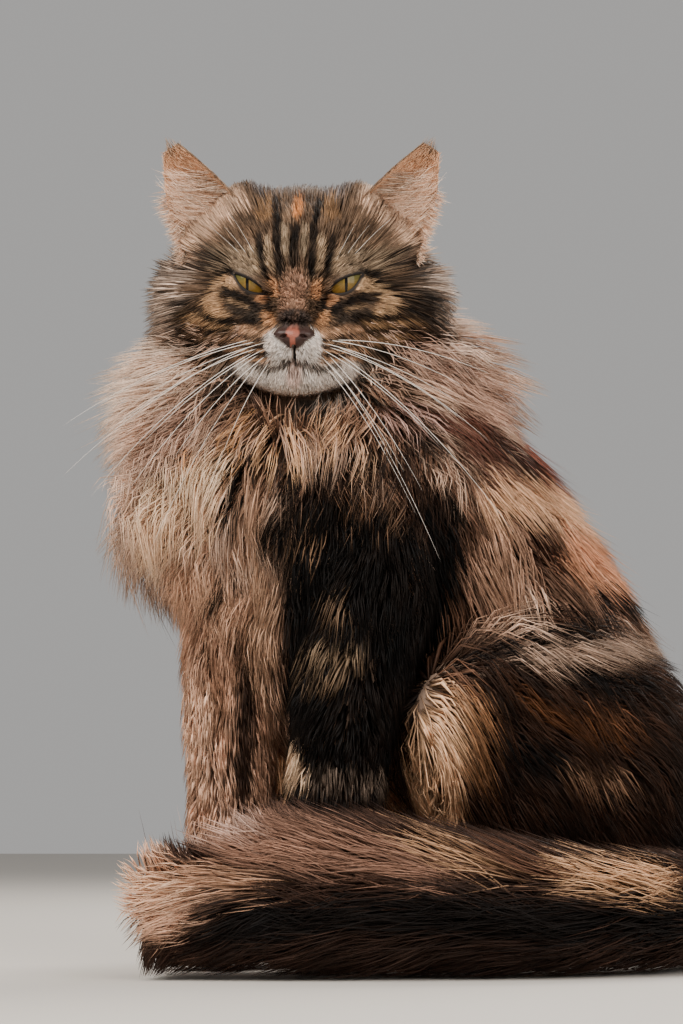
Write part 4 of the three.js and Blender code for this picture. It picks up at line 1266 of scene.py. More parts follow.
def body_coat(name, growths, looks):
    """One coat piece from several growths, each (form name, width, what it says to grow)."""
    parts = []
    for tile, (form, wide, said) in enumerate(growths):
        growth = Growth(form, FORMS[form].point)
        paths, outs = growth.grow(**said)
        draw = np.random.default_rng(said["seed"] + 5)
        widths = wide * draw.uniform(0.65, 1.35, len(paths))
        colours = growth.shades(paths, outs, said["seed"] + 6, **looks)
        uv = map_place(growth.t, growth.r, tile, len(growths))
        parts.append((paths, outs, widths, colours, uv))
    joined_tufts(name, parts)


def layers(form, count, seed, shared, guard, stray, under):
    """The three layers of a form's coat: guard hair in locks, a few long strays, and the wide
    tufts under both. Each is (share of the count, width, what it says to grow), and shared is
    what all three say."""
    return [
        (form, wide, dict(shared, count=int(count * share), seed=seed + later, **own))
        for later, (share, wide, own) in zip((0, 4, 9), (guard, stray, under))
    ]


def joined_tufts(name, parts):
    """One piece of guard hair from several (paths, outs, widths, colours, places on the unwrap)."""
    arrays = [np.concatenate(column) for column in zip(*parts)]
    mesh = tuft_mesh(name, *arrays, seed=len(arrays[0]))
    link(name, mesh, made("guard_hair", fur_material))


# ---- Materials.
def add(tree, kind, settings=None, inputs=None):
    """Adds a node, sets its properties and its inputs: a value, or a link from another's output."""
    node = tree.nodes.new(kind)
    for key, value in (settings or {}).items():
        setattr(node, key, value)
    for key, value in (inputs or {}).items():
        if isinstance(value, bpy.types.NodeSocket):
            tree.links.new(value, node.inputs[key])
        else:
            node.inputs[key].default_value = value
    return node


def new_material(name):
    """A material with an empty tree, and the tree."""
    material = bpy.data.materials.new(name)
    material.use_nodes = True
    material.node_tree.nodes.clear()
    return material, material.node_tree


def rgba(hex_colour):
    """A socket's colour from sRGB hex."""
    return (*linear(hex_colour), 1)


BAND = 0.9 * MM  # of light and of dark along a hair
GRAIN, PEBBLE = 0.7 * MM, 0.8 * MM  # of lying hair with its pores, and of the nose leather
TINTED = 18 * MM  # of a whisker


def fur_material():
    """Guard hair: keratin, IOR 1.55 with a soft broad gloss. The noise at 0.9 mm stands for the
    light and dark bands along single hairs, drawn coarser than the real ones so that it shows."""
    material, tree = new_material("guard_hair")
    colour = add(tree, "ShaderNodeAttribute", {"attribute_name": "coat"})
    where = add(tree, "ShaderNodeTexCoord").outputs["Object"]
    bands = {"Vector": where, "Scale": 1 / (2 * BAND), "Detail": 2.0}
    band = add(tree, "ShaderNodeTexNoise", inputs=bands)
    spread = {"From Min": 0.3, "From Max": 0.7, "To Min": 0.82, "To Max": 1.2}
    light = add(tree, "ShaderNodeMapRange", inputs={0: band.outputs[0], **spread})
    tone = add(
        tree, "ShaderNodeMix", {"data_type": "RGBA", "blend_type": "MULTIPLY"},
        {0: 1.0, 6: colour.outputs["Color"], 7: light.outputs[0]},
    )
    gloss = {"Roughness": 0.6, "IOR": 1.55, "Specular IOR Level": 0.16}
    inputs = {"Base Color": tone.outputs[2], **gloss}
    shader = add(tree, "ShaderNodeBsdfPrincipled", inputs=inputs)
    add(tree, "ShaderNodeOutputMaterial", inputs={"Surface": shader.outputs[0]})
    return material


def skin_material():
    """Skin under short lying hair: matt, with a fine grain 0.35 mm across for hair and pores.
    The bare nose leather is pebbled, a little moist, and so smoother: the fourth number of the
    colour is 1 there."""
    material, tree = new_material("short_lying_hair")
    colour = add(tree, "ShaderNodeAttribute", {"attribute_name": "coat"})
    where = add(tree, "ShaderNodeTexCoord").outputs["Object"]
    grains = {"Vector": where, "Scale": 1 / GRAIN, "Detail": 3.0}
    grain = add(tree, "ShaderNodeTexNoise", inputs=grains)
    pebble = add(tree, "ShaderNodeTexVoronoi", inputs={"Vector": where, "Scale": 1 / PEBBLE})
    height = add(
        tree, "ShaderNodeMix",
        inputs={0: colour.outputs["Alpha"], 2: grain.outputs[0], 3: pebble.outputs[0]},
    )
    bump = add(
        tree, "ShaderNodeBump",
        inputs={"Strength": 0.35, "Distance": 0.3 * MM, "Height": height.outputs[0]},
    )
    rough = add(
        tree, "ShaderNodeMapRange",
        inputs={"Value": colour.outputs["Alpha"], "To Min": 0.75, "To Max": 0.38},
    )
    looks = {"Base Color": colour.outputs["Color"], "Roughness": rough.outputs[0]}
    inputs = {**looks, "Normal": bump.outputs[0], "IOR": 1.45, "Specular IOR Level": 0.35}
    shader = add(tree, "ShaderNodeBsdfPrincipled", inputs=inputs)
    add(tree, "ShaderNodeOutputMaterial", inputs={"Surface": shader.outputs[0]})
    return material


def eye_material():
    """Wet cornea over the iris: a clear coat, IOR 1.376, nearly mirror smooth, so that the lights
    stand in it as small bright shapes."""
    material, tree = new_material("wet_cornea")
    colour = add(tree, "ShaderNodeAttribute", {"attribute_name": "coat"})
    iris = {"Roughness": 0.35, "IOR": 1.376, "Specular IOR Level": 0.0}
    cornea = {"Coat Weight": 0.8, "Coat Roughness": 0.03, "Coat IOR": 1.376}
    inputs = {"Base Color": colour.outputs["Color"], **iris, **cornea}
    shader = add(tree, "ShaderNodeBsdfPrincipled", inputs=inputs)
    add(tree, "ShaderNodeOutputMaterial", inputs={"Surface": shader.outputs[0]})
    return material


def whisker_material():
    """Whiskers: stiff white keratin, glossier than fur, yellower in some places than in others."""
    material, tree = new_material("whisker_keratin")
    where = add(tree, "ShaderNodeTexCoord").outputs["Object"]
    tint = add(tree, "ShaderNodeTexNoise", inputs={"Vector": where, "Scale": 1 / TINTED})
    tone = add(
        tree, "ShaderNodeMix", {"data_type": "RGBA"},
        {0: tint.outputs[0], 6: rgba("#f4efe8"), 7: rgba("#d9d0c6")},
    )
    inputs = {"Base Color": tone.outputs[2], "Roughness": 0.35, "IOR": 1.55}
    shader = add(tree, "ShaderNodeBsdfPrincipled", inputs=inputs)
    add(tree, "ShaderNodeOutputMaterial", inputs={"Surface": shader.outputs[0]})
    return material


def made(name, maker):
    """The named material, made once."""
    return bpy.data.materials.get(name) or maker()


# ---- Operators.
LIGHTS = (  # name, place, size and watts
    ("key", (-0.9, -1.1, 1.5), 1.1, 46),
    ("fill", (0.9, -1.5, 0.7), 1.4, 27),
    ("back", (0.7, 1.2, 1.4), 1.0, 34),
)
WARM = (1.0, 0.94, 0.87)
LIT = (0, 0, 0.25)


class CAT_OT_stage(bpy.types.Operator):
    """Camera, floor and lights"""

    bl_idname = "cat.stage"
    bl_label = "Stage"

    def execute(self, context):
        data = bpy.data.cameras.new("camera")
        data.lens, data.sensor_width = 100, 36
        data.clip_start, data.clip_end = 0.05, 20
        camera = bpy.data.objects.new("camera", data)
        context.scene.collection.objects.link(camera)
        camera.location = to_metres(CAMERA)
        camera.rotation_euler = (math.pi / 2 + CAMERA_PITCH, 0, 0)
        context.scene.camera = camera
        self.floor(context)
        world = context.scene.world or bpy.data.worlds.new("studio")
        context.scene.world = world
        world.use_nodes = True
        sky = world.node_tree.nodes["Background"]
        sky.inputs[0].default_value = rgba("#d6d4d2")
        sky.inputs[1].default_value = 0.62
        for light in LIGHTS:
            self.light(context, *light)
        return {"FINISHED"}

    def floor(self, context):
        """A plain square of matt board, 12 m across, under the cat."""
        mesh = bpy.data.meshes.new("floor")
        mesh.from_pydata([(-6, -6, 0), (6, -6, 0), (6, 6, 0), (-6, 6, 0)], [], [(0, 1, 2, 3)])
        floor = bpy.data.objects.new("floor", mesh)
        context.scene.collection.objects.link(floor)
        board, tree = new_material("matt_board")
        inputs = {"Base Color": rgba("#c9c4bd"), "Roughness": 0.9}
        shader = add(tree, "ShaderNodeBsdfPrincipled", inputs=inputs)
        add(tree, "ShaderNodeOutputMaterial", inputs={"Surface": shader.outputs[0]})
        mesh.materials.append(board)

    def light(self, context, name, place, size, power):
        """A square lamp that faces the cat."""
        data = bpy.data.lights.new(name, "AREA")
        data.size, data.energy, data.color = size, power, WARM
        lamp = bpy.data.objects.new(name, data)
        context.scene.collection.objects.link(lamp)
        lamp.location = place
        aim = Vector(LIT) - lamp.location
        lamp.rotation_euler = aim.to_track_quat("-Z", "Y").to_euler()


# Toes: the girdle, how far forward and to the side the foot's middle is, and the toes' size.
TOES = ((CHEST, 40, 33, 7.6), (HIPS, 140, 72, 7.2))
TOE_PLACES, TOES_APART, TOE_UP = (-1.5, -0.5, 0.5, 1.5), 11.0, 9.5
VOXEL = 3.6 * MM
GROUND = 0.3  # height that no skin is under


def body_flesh():
    """The body's forms at their skin, each a closed grid, and four ellipsoids for each foot's
    toes, remeshed into one surface and softened."""
    parts = []
    for name, form in FORMS.items():
        rows, columns = (150, 40) if name == "tail" else (48, 64)
        rings = eased(rows)[1:-1]
        t, r = np.meshgrid(rings, np.arange(columns) * FULL / columns, indexing="ij")
        grid = form.point(t, r, np.ones_like(t), False).reshape(-1, 3)
        poles = form.point(np.array([0.0, 1.0]), np.zeros(2), np.ones(2), False)
        parts.append((np.concatenate([grid, poles]), capped_triangles(rows - 2, columns)))
    rows, columns = 14, 18
    polar, turn = np.linspace(0.02, math.pi - 0.02, rows), np.arange(columns) * FULL / columns
    u, v = np.meshgrid(polar, turn, indexing="ij")
    ball = np.stack([np.sin(u) * np.cos(v), np.sin(u) * np.sin(v), np.cos(u)], -1)
    for girdle, forward, left, size in TOES:
        axes = [left_of(girdle) * size, forward_of(girdle) * size * 1.5, UP * size * 1.1]
        for side in (LEFT, RIGHT):
            for k in TOE_PLACES:
                ahead, across = forward - 2.2 * abs(k) ** 2, side * left + k * TOES_APART
                centre = in_girdle(girdle, ahead, across, TOE_UP)
                toe = (centre + ball @ np.array(axes)).reshape(-1, 3)
                parts.append((toe, grid_triangles(rows, columns)))
    rough = bpy.data.objects.new("flesh", mesh_of("flesh", *joined(parts)))
    bpy.context.scene.collection.objects.link(rough)
    remesh = rough.modifiers.new("remesh", "REMESH")
    remesh.mode, remesh.voxel_size, remesh.use_smooth_shade = "VOXEL", VOXEL, True
    soften = rough.modifiers.new("soften", "SMOOTH")
    soften.factor, soften.iterations = 0.5, 6
    graph = bpy.context.evaluated_depsgraph_get()
    done = bpy.data.meshes.new_from_object(rough.evaluated_get(graph))
    bpy.data.objects.remove(rough)
    places = np.empty(len(done.vertices) * 3, np.float32)
    done.vertices.foreach_get("co", places)
    done.calc_loop_triangles()
    triangles = np.empty(len(done.loop_triangles) * 3, np.int32)
    done.loop_triangles.foreach_get("vertices", triangles)
    points = places.reshape(-1, 3) / MM - SHIFT
    points[:, 2] = np.maximum(points[:, 2], GROUND)
    return points, triangles.reshape(-1, 3)


def head_flesh():
    """The head's ray table as a closed grid: rows from the nose to the back of the head."""
    table = head.cut
    grid = (HEAD_MIDDLE + head.rays[1:-1] * table[1:-1, :, None]).reshape(-1, 3)
    poles = HEAD_MIDDLE + head.rays[[0, -1], 0] * table[[0, -1], 0][:, None]
    triangles = capped_triangles(head.ROWS - 1, head.COLUMNS)[:, ::-1]
    return out_of_head(np.concatenate([grid, poles])), triangles


# The profile of a lid's rim: (distance out of the opening, share of the way from the eye to the
# face, depth behind that).
LID_PROFILE = [
    (4.6, 1, 1.2), (3.4, 1, -0.1), (2.2, 1, -0.35), (1.2, 0.8, -0.5), (0.45, 0.5, -0.45),
    (0.0, 0.3, 0.0), (-0.15, 0.15, 0.8), (0.1, 0, 2.4), (2.2, 0, 5.0), (4.2, 0.6, 5.0),
]
LID_RADIUS = EYE_RADIUS + 0.5


def lid_rim(side):
    """The lids' rim: a closed profile carried round the opening, rolled over from the face onto
    the eye's ball."""
    rings = []
    for out, share, deep in LID_PROFILE:
        outline = opening_outline(side, out)
        x, z = EYE_APART + outline[:, 0], outline[:, 1]
        off = np.minimum((outline**2).sum(-1), (LID_RADIUS - 1.2) ** 2)
        on_eye = -np.sqrt(LID_RADIUS**2 - off)
        face = on_face(x, z)
        y = np.minimum(on_eye, face + 4.0) * (1 - share) + face * share + deep
        rings.append(np.stack([x, y, z], -1))
    points = np.stack(rings)  # profile x outline x 3
    rows, columns = points.shape[:2]
    triangles = grid_triangles(rows + 1, columns)
    triangles = np.where(triangles >= rows * columns, triangles - rows * columns, triangles)
    points = mirrored(points.reshape(-1, 3), side)
    return out_of_head(points), triangles


def ear_flesh(side):
    """The ear's sheet with a rounded rim: the front and the back surface of a cup, their distance
    falling to nothing at the edges as a half ellipse."""
    rows, columns = 44, 72
    u = np.linspace(0, 1, rows)
    up = EAR["root"] + (EAR["top"] - EAR["root"]) * u
    up, angle = np.meshgrid(up, np.arange(columns) * FULL / columns, indexing="ij")
    close = np.clip((1 - u**14)[:, None], 0, 1) ** 0.5
    thick = EAR["thick"] * (1 - 0.6 * np.maximum(up, 0)) * close
    points = ear_point(np.cos(angle), up, EAR["thick"] / 2 + thick / 2 * np.sin(angle))
    poles = np.stack([points[0].mean(0), points[-1].mean(0)])
    flat = np.concatenate([points.reshape(-1, 3), poles])
    return out_of_head(mirrored(flat, side)), capped_triangles(rows, columns)


def vertex_normals(points, triangles):
    """Area-weighted normals of the points: the sum of (b - a) x (c - a) over their triangles."""
    a, b, c = (points[triangles[:, i]] for i in range(3))
    faces = np.cross(b - a, c - a)
    normals = np.zeros_like(points)
    for i in range(3):
        for axis in range(3):
            normals[:, axis] += np.bincount(triangles[:, i], faces[:, axis], len(points))
    return unit(normals)


def outwards(points, triangles):
    """The same with its faces turned outwards: the volume, a sixth of the sum of a . (b x c) over
    the triangles, is then above 0."""
    a, b, c = (points[triangles[:, i]] for i in range(3))
    inside_out = (a * np.cross(b, c)).sum() < 0
    return points, triangles[:, ::-1] if inside_out else triangles


def mixed(colour, other, share):
    """Two colours mixed by a share of the other for each point."""
    return colour * (1 - share) + other * share


def body_shade(points, normals):
    """The skin over the body: the coat of the form it belongs to at half its brightness, painted
    shade for the skin deep under the tufts.
    """
    names = list(FORMS)
    nearest = np.stack([FORMS[name].away(points, 1.0) for name in names]).argmin(0)
    shade = np.zeros((len(points), 3))
    for k, name in enumerate(names):
        of = nearest == k
        if of.any():
            shade[of] = coat_colour(name, points[of] + 12 * normals[of], normals[of])
    # halved: painted shade of the skin under the coat
    return shade * 0.5, np.zeros(len(points))


def head_shade(points, normals):
    """The skin over the head: three quarters of the markings' brightness, painted shade for the
    skin under the short hair, the nose leather, and dark lips and insides of the lids. The second
    value is 1 on the nose leather."""
    own = into_head(points)
    # three quarters: painted shade of the skin under the hair
    shade = head_colour(points + 3 * normals) * 0.75
    bare = 1 - smooth(0.0, 1.2, nose_away(own))
    bare *= (own[:, 1] < -36) * smooth(-21.6, -23.4, own[:, 2])
    leather = np.tile(np.array(bpy.context.scene.cat_tabby.nose), (len(own), 1))
    shade = shade + (paint(leather, own[:, [0, 2]], NOSE_MARKS) - shade) * bare[:, None]
    inside = (1 - smooth(0.0, 0.6, opening_either(own))) * (own[:, 1] < 0)
    lips = 1 - smooth(0.3, 1.3, to_polyline(np.abs(own[:, [0, 2]]) * [1, -1], MOUTH))
    dark = np.maximum(inside, lips * (own[:, 1] < -18))[:, None]
    return mixed(shade, linear("#1a1210"), dark), bare


def lid_shade(points, normals):
    """The lids' rims: bare and a little moist near the opening, and the markings beyond."""
    rim = 1 - smooth(0.9, 3.2, opening_either(into_head(points)))
    shade = head_colour(points + 3 * normals)
    return mixed(shade, np.array(bpy.context.scene.cat_tabby.lids), rim[:, None]), rim * 0.2


def ear_shade(points, normals):
    """The ears: one colour before and one behind, told by the way they face."""
    tabby = bpy.context.scene.cat_tabby
    inner = (normals @ HEAD_TURN[:, 1] < 0.1)[:, None]
    shade = np.where(inner, np.array(tabby.ear_inside), np.array(tabby.ear_back))
    return shade, np.zeros(len(points))


class CAT_OT_skin(bpy.types.Operator):
    """One skin for head, ears, body, legs and tail"""

    bl_idname = "cat.skin"
    bl_label = "Skin"

    def execute(self, context):
        flesh = [(body_flesh(), body_shade), (head_flesh(), head_shade)]
        for side in (LEFT, RIGHT):
            flesh += [(lid_rim(side), lid_shade), (ear_flesh(side), ear_shade)]
        parts, colours = [], []
        for part, shading in flesh:
            points, triangles = outwards(*part)
            shade, bare = shading(points, vertex_normals(points, triangles))
            parts.append((points, triangles))
            colours.append(np.concatenate([np.clip(shade, 0.002, 0.9), bare[:, None]], -1))
        mesh = mesh_of("skin", *joined(parts), np.concatenate(colours))
        piece = link("skin", mesh, made("short_lying_hair", skin_material))
        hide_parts(*[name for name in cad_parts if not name.startswith("eye")])
        return {"FINISHED"}


class CAT_OT_eyes(bpy.types.Operator):
    """Both eyes: a ball with its iris, slit pupil and wet front"""

    bl_idname = "cat.eyes"
    bl_label = "Eyes"

    ROWS, COLUMNS = 84, 72
    CORNEA, CORNEA_HIGH = 0.9, 0.35  # angle of the cornea from the line of sight, and its height
    SQUINT, LIFTED = math.radians(5), math.radians(-4)

    def execute(self, context):
        polar = math.pi * np.linspace(0, 1, self.ROWS) ** 1.5
        u, v = np.meshgrid(polar, np.arange(self.COLUMNS) * FULL / self.COLUMNS, indexing="ij")
        bulge = self.CORNEA_HIGH * np.maximum(1 - (u / self.CORNEA) ** 2, 0) ** 2
        ball = np.stack([np.sin(u) * np.cos(v), -np.cos(u), np.sin(u) * np.sin(v)], -1)
        ball = (ball * (EYE_RADIUS - 0.1 + bulge)[..., None]).reshape(-1, 3)
        colour = self.iris(u, v, context.scene.cat_tabby).reshape(-1, 3)
        colour = np.concatenate([colour, np.ones((len(colour), 1))], -1)
        for side, name in ((LEFT, "eye_left"), (RIGHT, "eye_right")):
            looking = turn_z(side * self.SQUINT) @ turn_x(self.LIFTED)
            points = out_of_head(ball @ looking.T + np.array([side * EYE_APART, 0, 0]))
            part = outwards(points, grid_triangles(self.ROWS, self.COLUMNS))
            mesh = mesh_of(name + "_globe", *part, colour)
            piece = link(name + "_globe", mesh, made("wet_cornea", eye_material))
            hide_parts(name)
        return {"FINISHED"}

    def iris(self, u, v, tabby):
        """Colours over the ball: a slit pupil, fibres that run out from it, a dark rim and a
        brown sclera, told by the angle from the line of sight and round it."""
        draw = np.random.default_rng(7)
        x, z = np.sin(u) * np.cos(v), np.sin(u) * np.sin(v)
        fibre = sum(np.sin(v * k + draw.uniform(0, FULL)) for k in (23, 37, 51, 64)) / 4
        upper = smooth(-0.35, 0.45, z)[..., None]
        colour = mixed(np.array(tabby.iris_low), np.array(tabby.iris_high), upper)
        colour = colour * (1 + 0.28 * fibre)[..., None]
        near = 1 - smooth(0.18, 0.45, np.sqrt((x * 2.2) ** 2 + z**2))
        colour = mixed(colour, linear("#a07c34"), 0.25 * near[..., None])
        colour = mixed(colour, linear("#2a1f12"), smooth(0.80, 0.93, u)[..., None])
        colour = mixed(colour, linear("#5a463a"), smooth(0.95, 1.02, u)[..., None])
        slit = np.abs(x) / np.maximum(0.075 * np.sqrt(np.maximum(1 - (z / 0.62) ** 2, 0)), 1e-3)
        pupil = (1 - smooth(0.8, 1.15, slit))[..., None] * (u < 1.2)[..., None]
        return np.clip(mixed(colour, linear("#070605"), pupil), 0.001, 0.9)


def head_point(t, r, share):
    """The head's point told like a body form's: t runs from the nose to the back of the head."""
    return head.point(np.clip(t, 0.0, 1.0) * math.pi, r, share)


def ears_away(own):
    """Roughly how far points lie from the nearer ear's sheet where it leaves the head: from a
    line along its base, hollowed back in the middle."""
    inner, outer = np.array(EAR["inner_base"], float), np.array(EAR["outer_base"], float)
    line = [inner, (inner + outer) / 2 + [0, 12, 0], outer]
    sides = [to_polyline(own, [p * [side, 1, 1] for p in line]) - 5 for side in (LEFT, RIGHT)]
    return np.minimum(*sides)


def bare_face(t, r, here):
    """Density of the head's tufts: none on the nose leather, lids' opening and mouth, most on the
    face."""
    own = head_point(t, r, RUN_AT)
    y = own[:, 1]
    mouth = to_polyline(np.stack([np.abs(own[:, 0]), own[:, 2]], -1), MOUTH)
    clear = (nose_away(own) > 1.0) | (y > -30) | (own[:, 2] > -23)
    clear &= (opening_either(own) > 1.1) | (y > 0)
    clear &= (mouth > 0.8) | (y > -16)
    return clear * (0.35 + 0.65 * smooth(0.75, 0.45, t)) * smooth(-1, 2, ears_away(own))


def hair_lie(t, r, here):
    """How the head's hair turns from straight back: down over the cheeks and jaws."""
    own = into_head(here)
    side = np.sign(own[:, 0])
    down = smooth(12, 50, np.abs(own[:, 0])) * smooth(30, -10, own[:, 2])
    return -side * 0.75 * down * (own[:, 1] < 60)


def face_length(t, r, here):
    """Length of the head's hair: shortest on the nose and about the eyes, long on the cheeks."""
    own = into_head(here)
    x, y, z = np.abs(own[:, 0]), own[:, 1], own[:, 2]
    size = 2.6 + 2.8 * smooth(0.16, 0.32, t) + 4 * smooth(0.4, 0.6, t)
    size += 20 * smooth(46, 74, x) * smooth(26, 4, z)
    size += 14 * smooth(-50, -62, z)
    size += 5 * smooth(30, 60, y)
    size *= 0.55 + 0.45 * smooth(12, 24, np.hypot(x - EYE_APART, z))
    return size + 8 * (1 - smooth(3, 12, ears_away(own))) * (y < 34)


def face_tip(t, r, here):
    """The head's hair lies down, and stands out from the cheeks and before the ears."""
    own = into_head(here)
    out = smooth(50, 64, np.abs(own[:, 0])) * smooth(32, 8, own[:, 2])
    return 0.05 - 0.7 * out * smooth(-46, -30, own[:, 2])


def throat(t, r, here):
    """Density of the hair that hangs from under the chin and jaws."""
    return smooth(-53, -60, into_head(here)[:, 2])


class CAT_OT_face_coat(bpy.types.Operator):
    """Short fur of the head"""

    bl_idname = "cat.face_coat"
    bl_label = "Face coat"

    def execute(self, context):
        lying = dict(rings=2, length=face_length, tip=face_tip, drop=0.0, density=bare_face)
        hanging = dict(rings=3, length=13, tip=-0.8, drop=26, density=throat)
        under = (1.12 * math.pi, 1.88 * math.pi)
        self.patch("coat_face", 19500, ((0.02, 0.40), (0, FULL)), 100, 0.19, lying)
        self.patch("coat_cheeks", 11500, ((0.38, 0.66), (0, FULL)), 110, 0.27, lying)
        self.patch("coat_nape", 4500, ((0.62, 0.97), (0, FULL)), 120, 0.42, lying)
        self.patch("coat_throat", 3200, ((0.3, 0.66), under), 130, 0.4, hanging)
        return {"FINISHED"}

    def patch(self, name, count, window, seed, wide, said):
        """One piece of the head's fur over a window of its two parameters."""
        growth = Growth("head", head_point)
        paths, outs = growth.grow(
            count, window, seed, lift=1.5, gravity=0.0, swirl=0.3, turned=hair_lie, clump=0.4,
            clumps=count // 12, **said,
        )
        draw = np.random.default_rng(seed + 5)
        widths = wide * draw.uniform(0.7, 1.3, len(paths)) * np.clip(growth.size / 8, 0.75, 1.7)
        colours = growth.shades(
            paths, outs, seed + 6, grizzle=0.2, root=0.7, tip=1.15, ticked=0.15, shift=0.45,
            locks=0.08,
        )
        uv = map_place(growth.t, growth.r, 0, 1)
        joined_tufts(name, [(paths, outs, widths, colours, uv)])


PALE = ("#f4d9c2", "#e2bea3", "#cba082")
DARK = ("#3a302a", "#4c4038", "#65564a")
PINKISH = ("#d6a682", "#c99672", "#deb392")
EDGE = ("#8a6f59", "#6e5747", "#a88a70")
# Hair of an ear: count, the window across and up its sheet, the sweep across and up, the shortest
# and the longest, the width, the colours and what is special.
EAR_HAIR = (
    (1100, (-0.95, -0.3), (-0.1, 0.62), (1.0, 0.42), (18, 36), 0.16, PALE, {"crowd": 2.4}),
    (700, (-0.7, 0.3), (-0.2, 0.5), (0.8, 0.75), (14, 32), 0.18, PALE, {"crowd": 2.4}),
    (1300, (-0.98, 0.98), (0.05, 0.95), (0.35, 0.8), (3, 7), 0.13, PINKISH, {}),
    (420, (0.7, 0.98), (-0.15, 0.6), (0.9, -0.15), (8, 19), 0.19, PALE, {"crowd": 1.5}),
    (240, (-1.0, -0.93), (0.05, 0.95), (-0.1, 0.9), (3, 5), 0.18, EDGE, {}),
    (1700, (-1.0, 1.0), (-0.1, 0.94), (0.0, 1.0), (5, 9), 0.34, DARK, {"inside": False}),
    (60, (-0.9, 0.9), (0.85, 0.93), (-0.4, 1.0), (6, 12), 0.12, EDGE, {"top": 1.12}),
)
EAR_HALF, EAR_UP = (24, 8), 55  # the ear's half width at its base over that at its tip; its height
STRAYS = 0.25  # share by which the sweep of an ear's hair differs


def ear_tufts(
    side, seed, count, across, up, sweep, length, wide, colours, inside=True, crowd=1.0, top=0.99
):
    """Paths of hair on an ear: roots drawn over a window of its sheet, more of them low down where
    crowd is above 1, each running on along sweep in the sheet's own two parameters and lifting
    off it as a power of the way along. Past the sheet's edges it runs on outwards."""
    draw = np.random.default_rng(seed)
    rings = 2
    a = draw.uniform(*across, count)
    u = up[0] + (up[1] - up[0]) * draw.beta(1.0, crowd, count)
    size = draw.uniform(*length, count)
    step = np.linspace(0, 1, rings + 1)[None]
    half = EAR_HALF[0] * (1 - u) + EAR_HALF[1]
    da = sweep[0] * size / half * draw.uniform(1 - STRAYS, 1 + STRAYS, count)
    du = sweep[1] * size / EAR_UP * draw.uniform(1 - STRAYS, 1 + STRAYS, count)
    du = du + draw.normal(0, 0.03, count)
    lift = (-0.22 if inside else 0.18) * size * draw.uniform(0.4, 1.4, count)
    back = lift[:, None] * step**1.2 + (0.3 if inside else EAR["thick"] - 0.3)
    aa, uu = a[:, None] + da[:, None] * step, u[:, None] + du[:, None] * step
    past = (np.maximum(np.abs(aa) - 1, 0) * np.sign(aa))[..., None]
    flat = ear_point(np.clip(aa, -1, 1), np.minimum(uu, top), back)
    flat = flat + past * np.array([12.0, -6.0, 0])
    paths = out_of_head(mirrored(flat.reshape(-1, 3), side)).reshape(flat.shape)
    outs = np.tile(np.array([0.0, -1.0 if inside else 1.0, 0.15]), (count, 1))
    outs = mirrored(outs, side) @ HEAD_TURN.T
    tones = np.array([linear(c) for c in colours])[draw.integers(0, len(colours), count)]
    tones = tones * np.exp(draw.normal(0, 0.12, count))[:, None]
    # painted shade: each ear hair darker towards its root
    shades = with_step(tones[:, None] * (0.75 + 0.35 * step)[..., None], step)
    tile = 0.01 if side > 0 else 0.51
    uv = [tile + 0.47 * (a + 1) / 2, 0.02 + 0.94 * np.clip(u + 0.2, 0, 1.1) / 1.3]
    return paths, outs, wide * draw.uniform(0.7, 1.3, count), shades, np.stack(uv, -1)


class CAT_OT_ear_coat(bpy.types.Operator):
    """Furnishings inside the ears, short hair on their backs and edges, and the tufts on top"""

    bl_idname = "cat.ear_coat"
    bl_label = "Ear coat"

    def execute(self, context):
        parts = [
            ear_tufts(side, 300 + side + 10 * k, *row, **special)
            for side in (LEFT, RIGHT)
            for k, (*row, special) in enumerate(EAR_HAIR)
        ]
        joined_tufts("coat_ears", parts)
        return {"FINISHED"}


def ruff_length(t, r, here):
    """How far the ruff's hair runs down: it hangs in front and behind and stands out at the sides,
    and is shorter at the top."""
    size = (28 + 28 * np.sin(r) ** 2) * (0.2 + 0.8 * smooth(0.04, 0.3 + 0.2 * np.sin(r) ** 2, t))
    size = size + 12 * np.cos(r) ** 4 * (1 - smooth(0.16, 0.34, t))
    return size + 14 * np.cos(r) ** 2 * smooth(0.35, 0.6, t)


def ruff_tip(t, r, here):
    """Share of the coat's depth at the ruff's tips: they reach furthest out where the ruff hangs
    over on the cat's right, 40 mm and more that way."""
    right = here[:, 0] < -40
    beside = np.cos(r) ** 6 * (1 - smooth(0.2, 0.34, t)) * smooth(0.02, 0.08, t)
    over = right * np.cos(r) ** 2 * smooth(0.48, 0.56, t) * (1 - smooth(0.7, 0.82, t))
    flare = 0.34 + 0.62 * smooth(0.54, 0.62, t)
    return -flare * over - np.where(right, 0.2, 0.4) * beside


CHIN_SEEN, CHIN_HALF = np.array([297.0, 362.0]), np.array([66.0, 32.0])


def over_chin(paths):
    """Whether a tuft passes before the chin and jaws: an ellipse of the front view."""
    seen = front(paths.reshape(-1, 3)).reshape(paths.shape[:2] + (2,))
    off = (seen - CHIN_SEEN) / CHIN_HALF
    return ((off**2).sum(-1) < 1).any(1) & (paths[:, 0, 1] < 0)


def upwards(t, r, here):
    """Turned right round."""
    return math.pi


# Locks that turn up: in front under the chin, where the ruff's parting opens, and behind over the
# top of the neck.
CURLS = {
    "front": dict(
        count=400, seed=407, window=((0.46, 0.57), (1.41 * math.pi, 1.58 * math.pi)), length=12,
        tip=0.1, swirl=0.9, wave=3.4, clump=0.75, clumps=50, hides=over_chin,
    ),
    "back": dict(
        count=340, seed=427, window=((0.02, 0.2), (0.95, math.pi - 0.95)), length=24,
        tip=0.05, swirl=0.5, wave=3.0, clump=0.6, clumps=60,
    ),
}


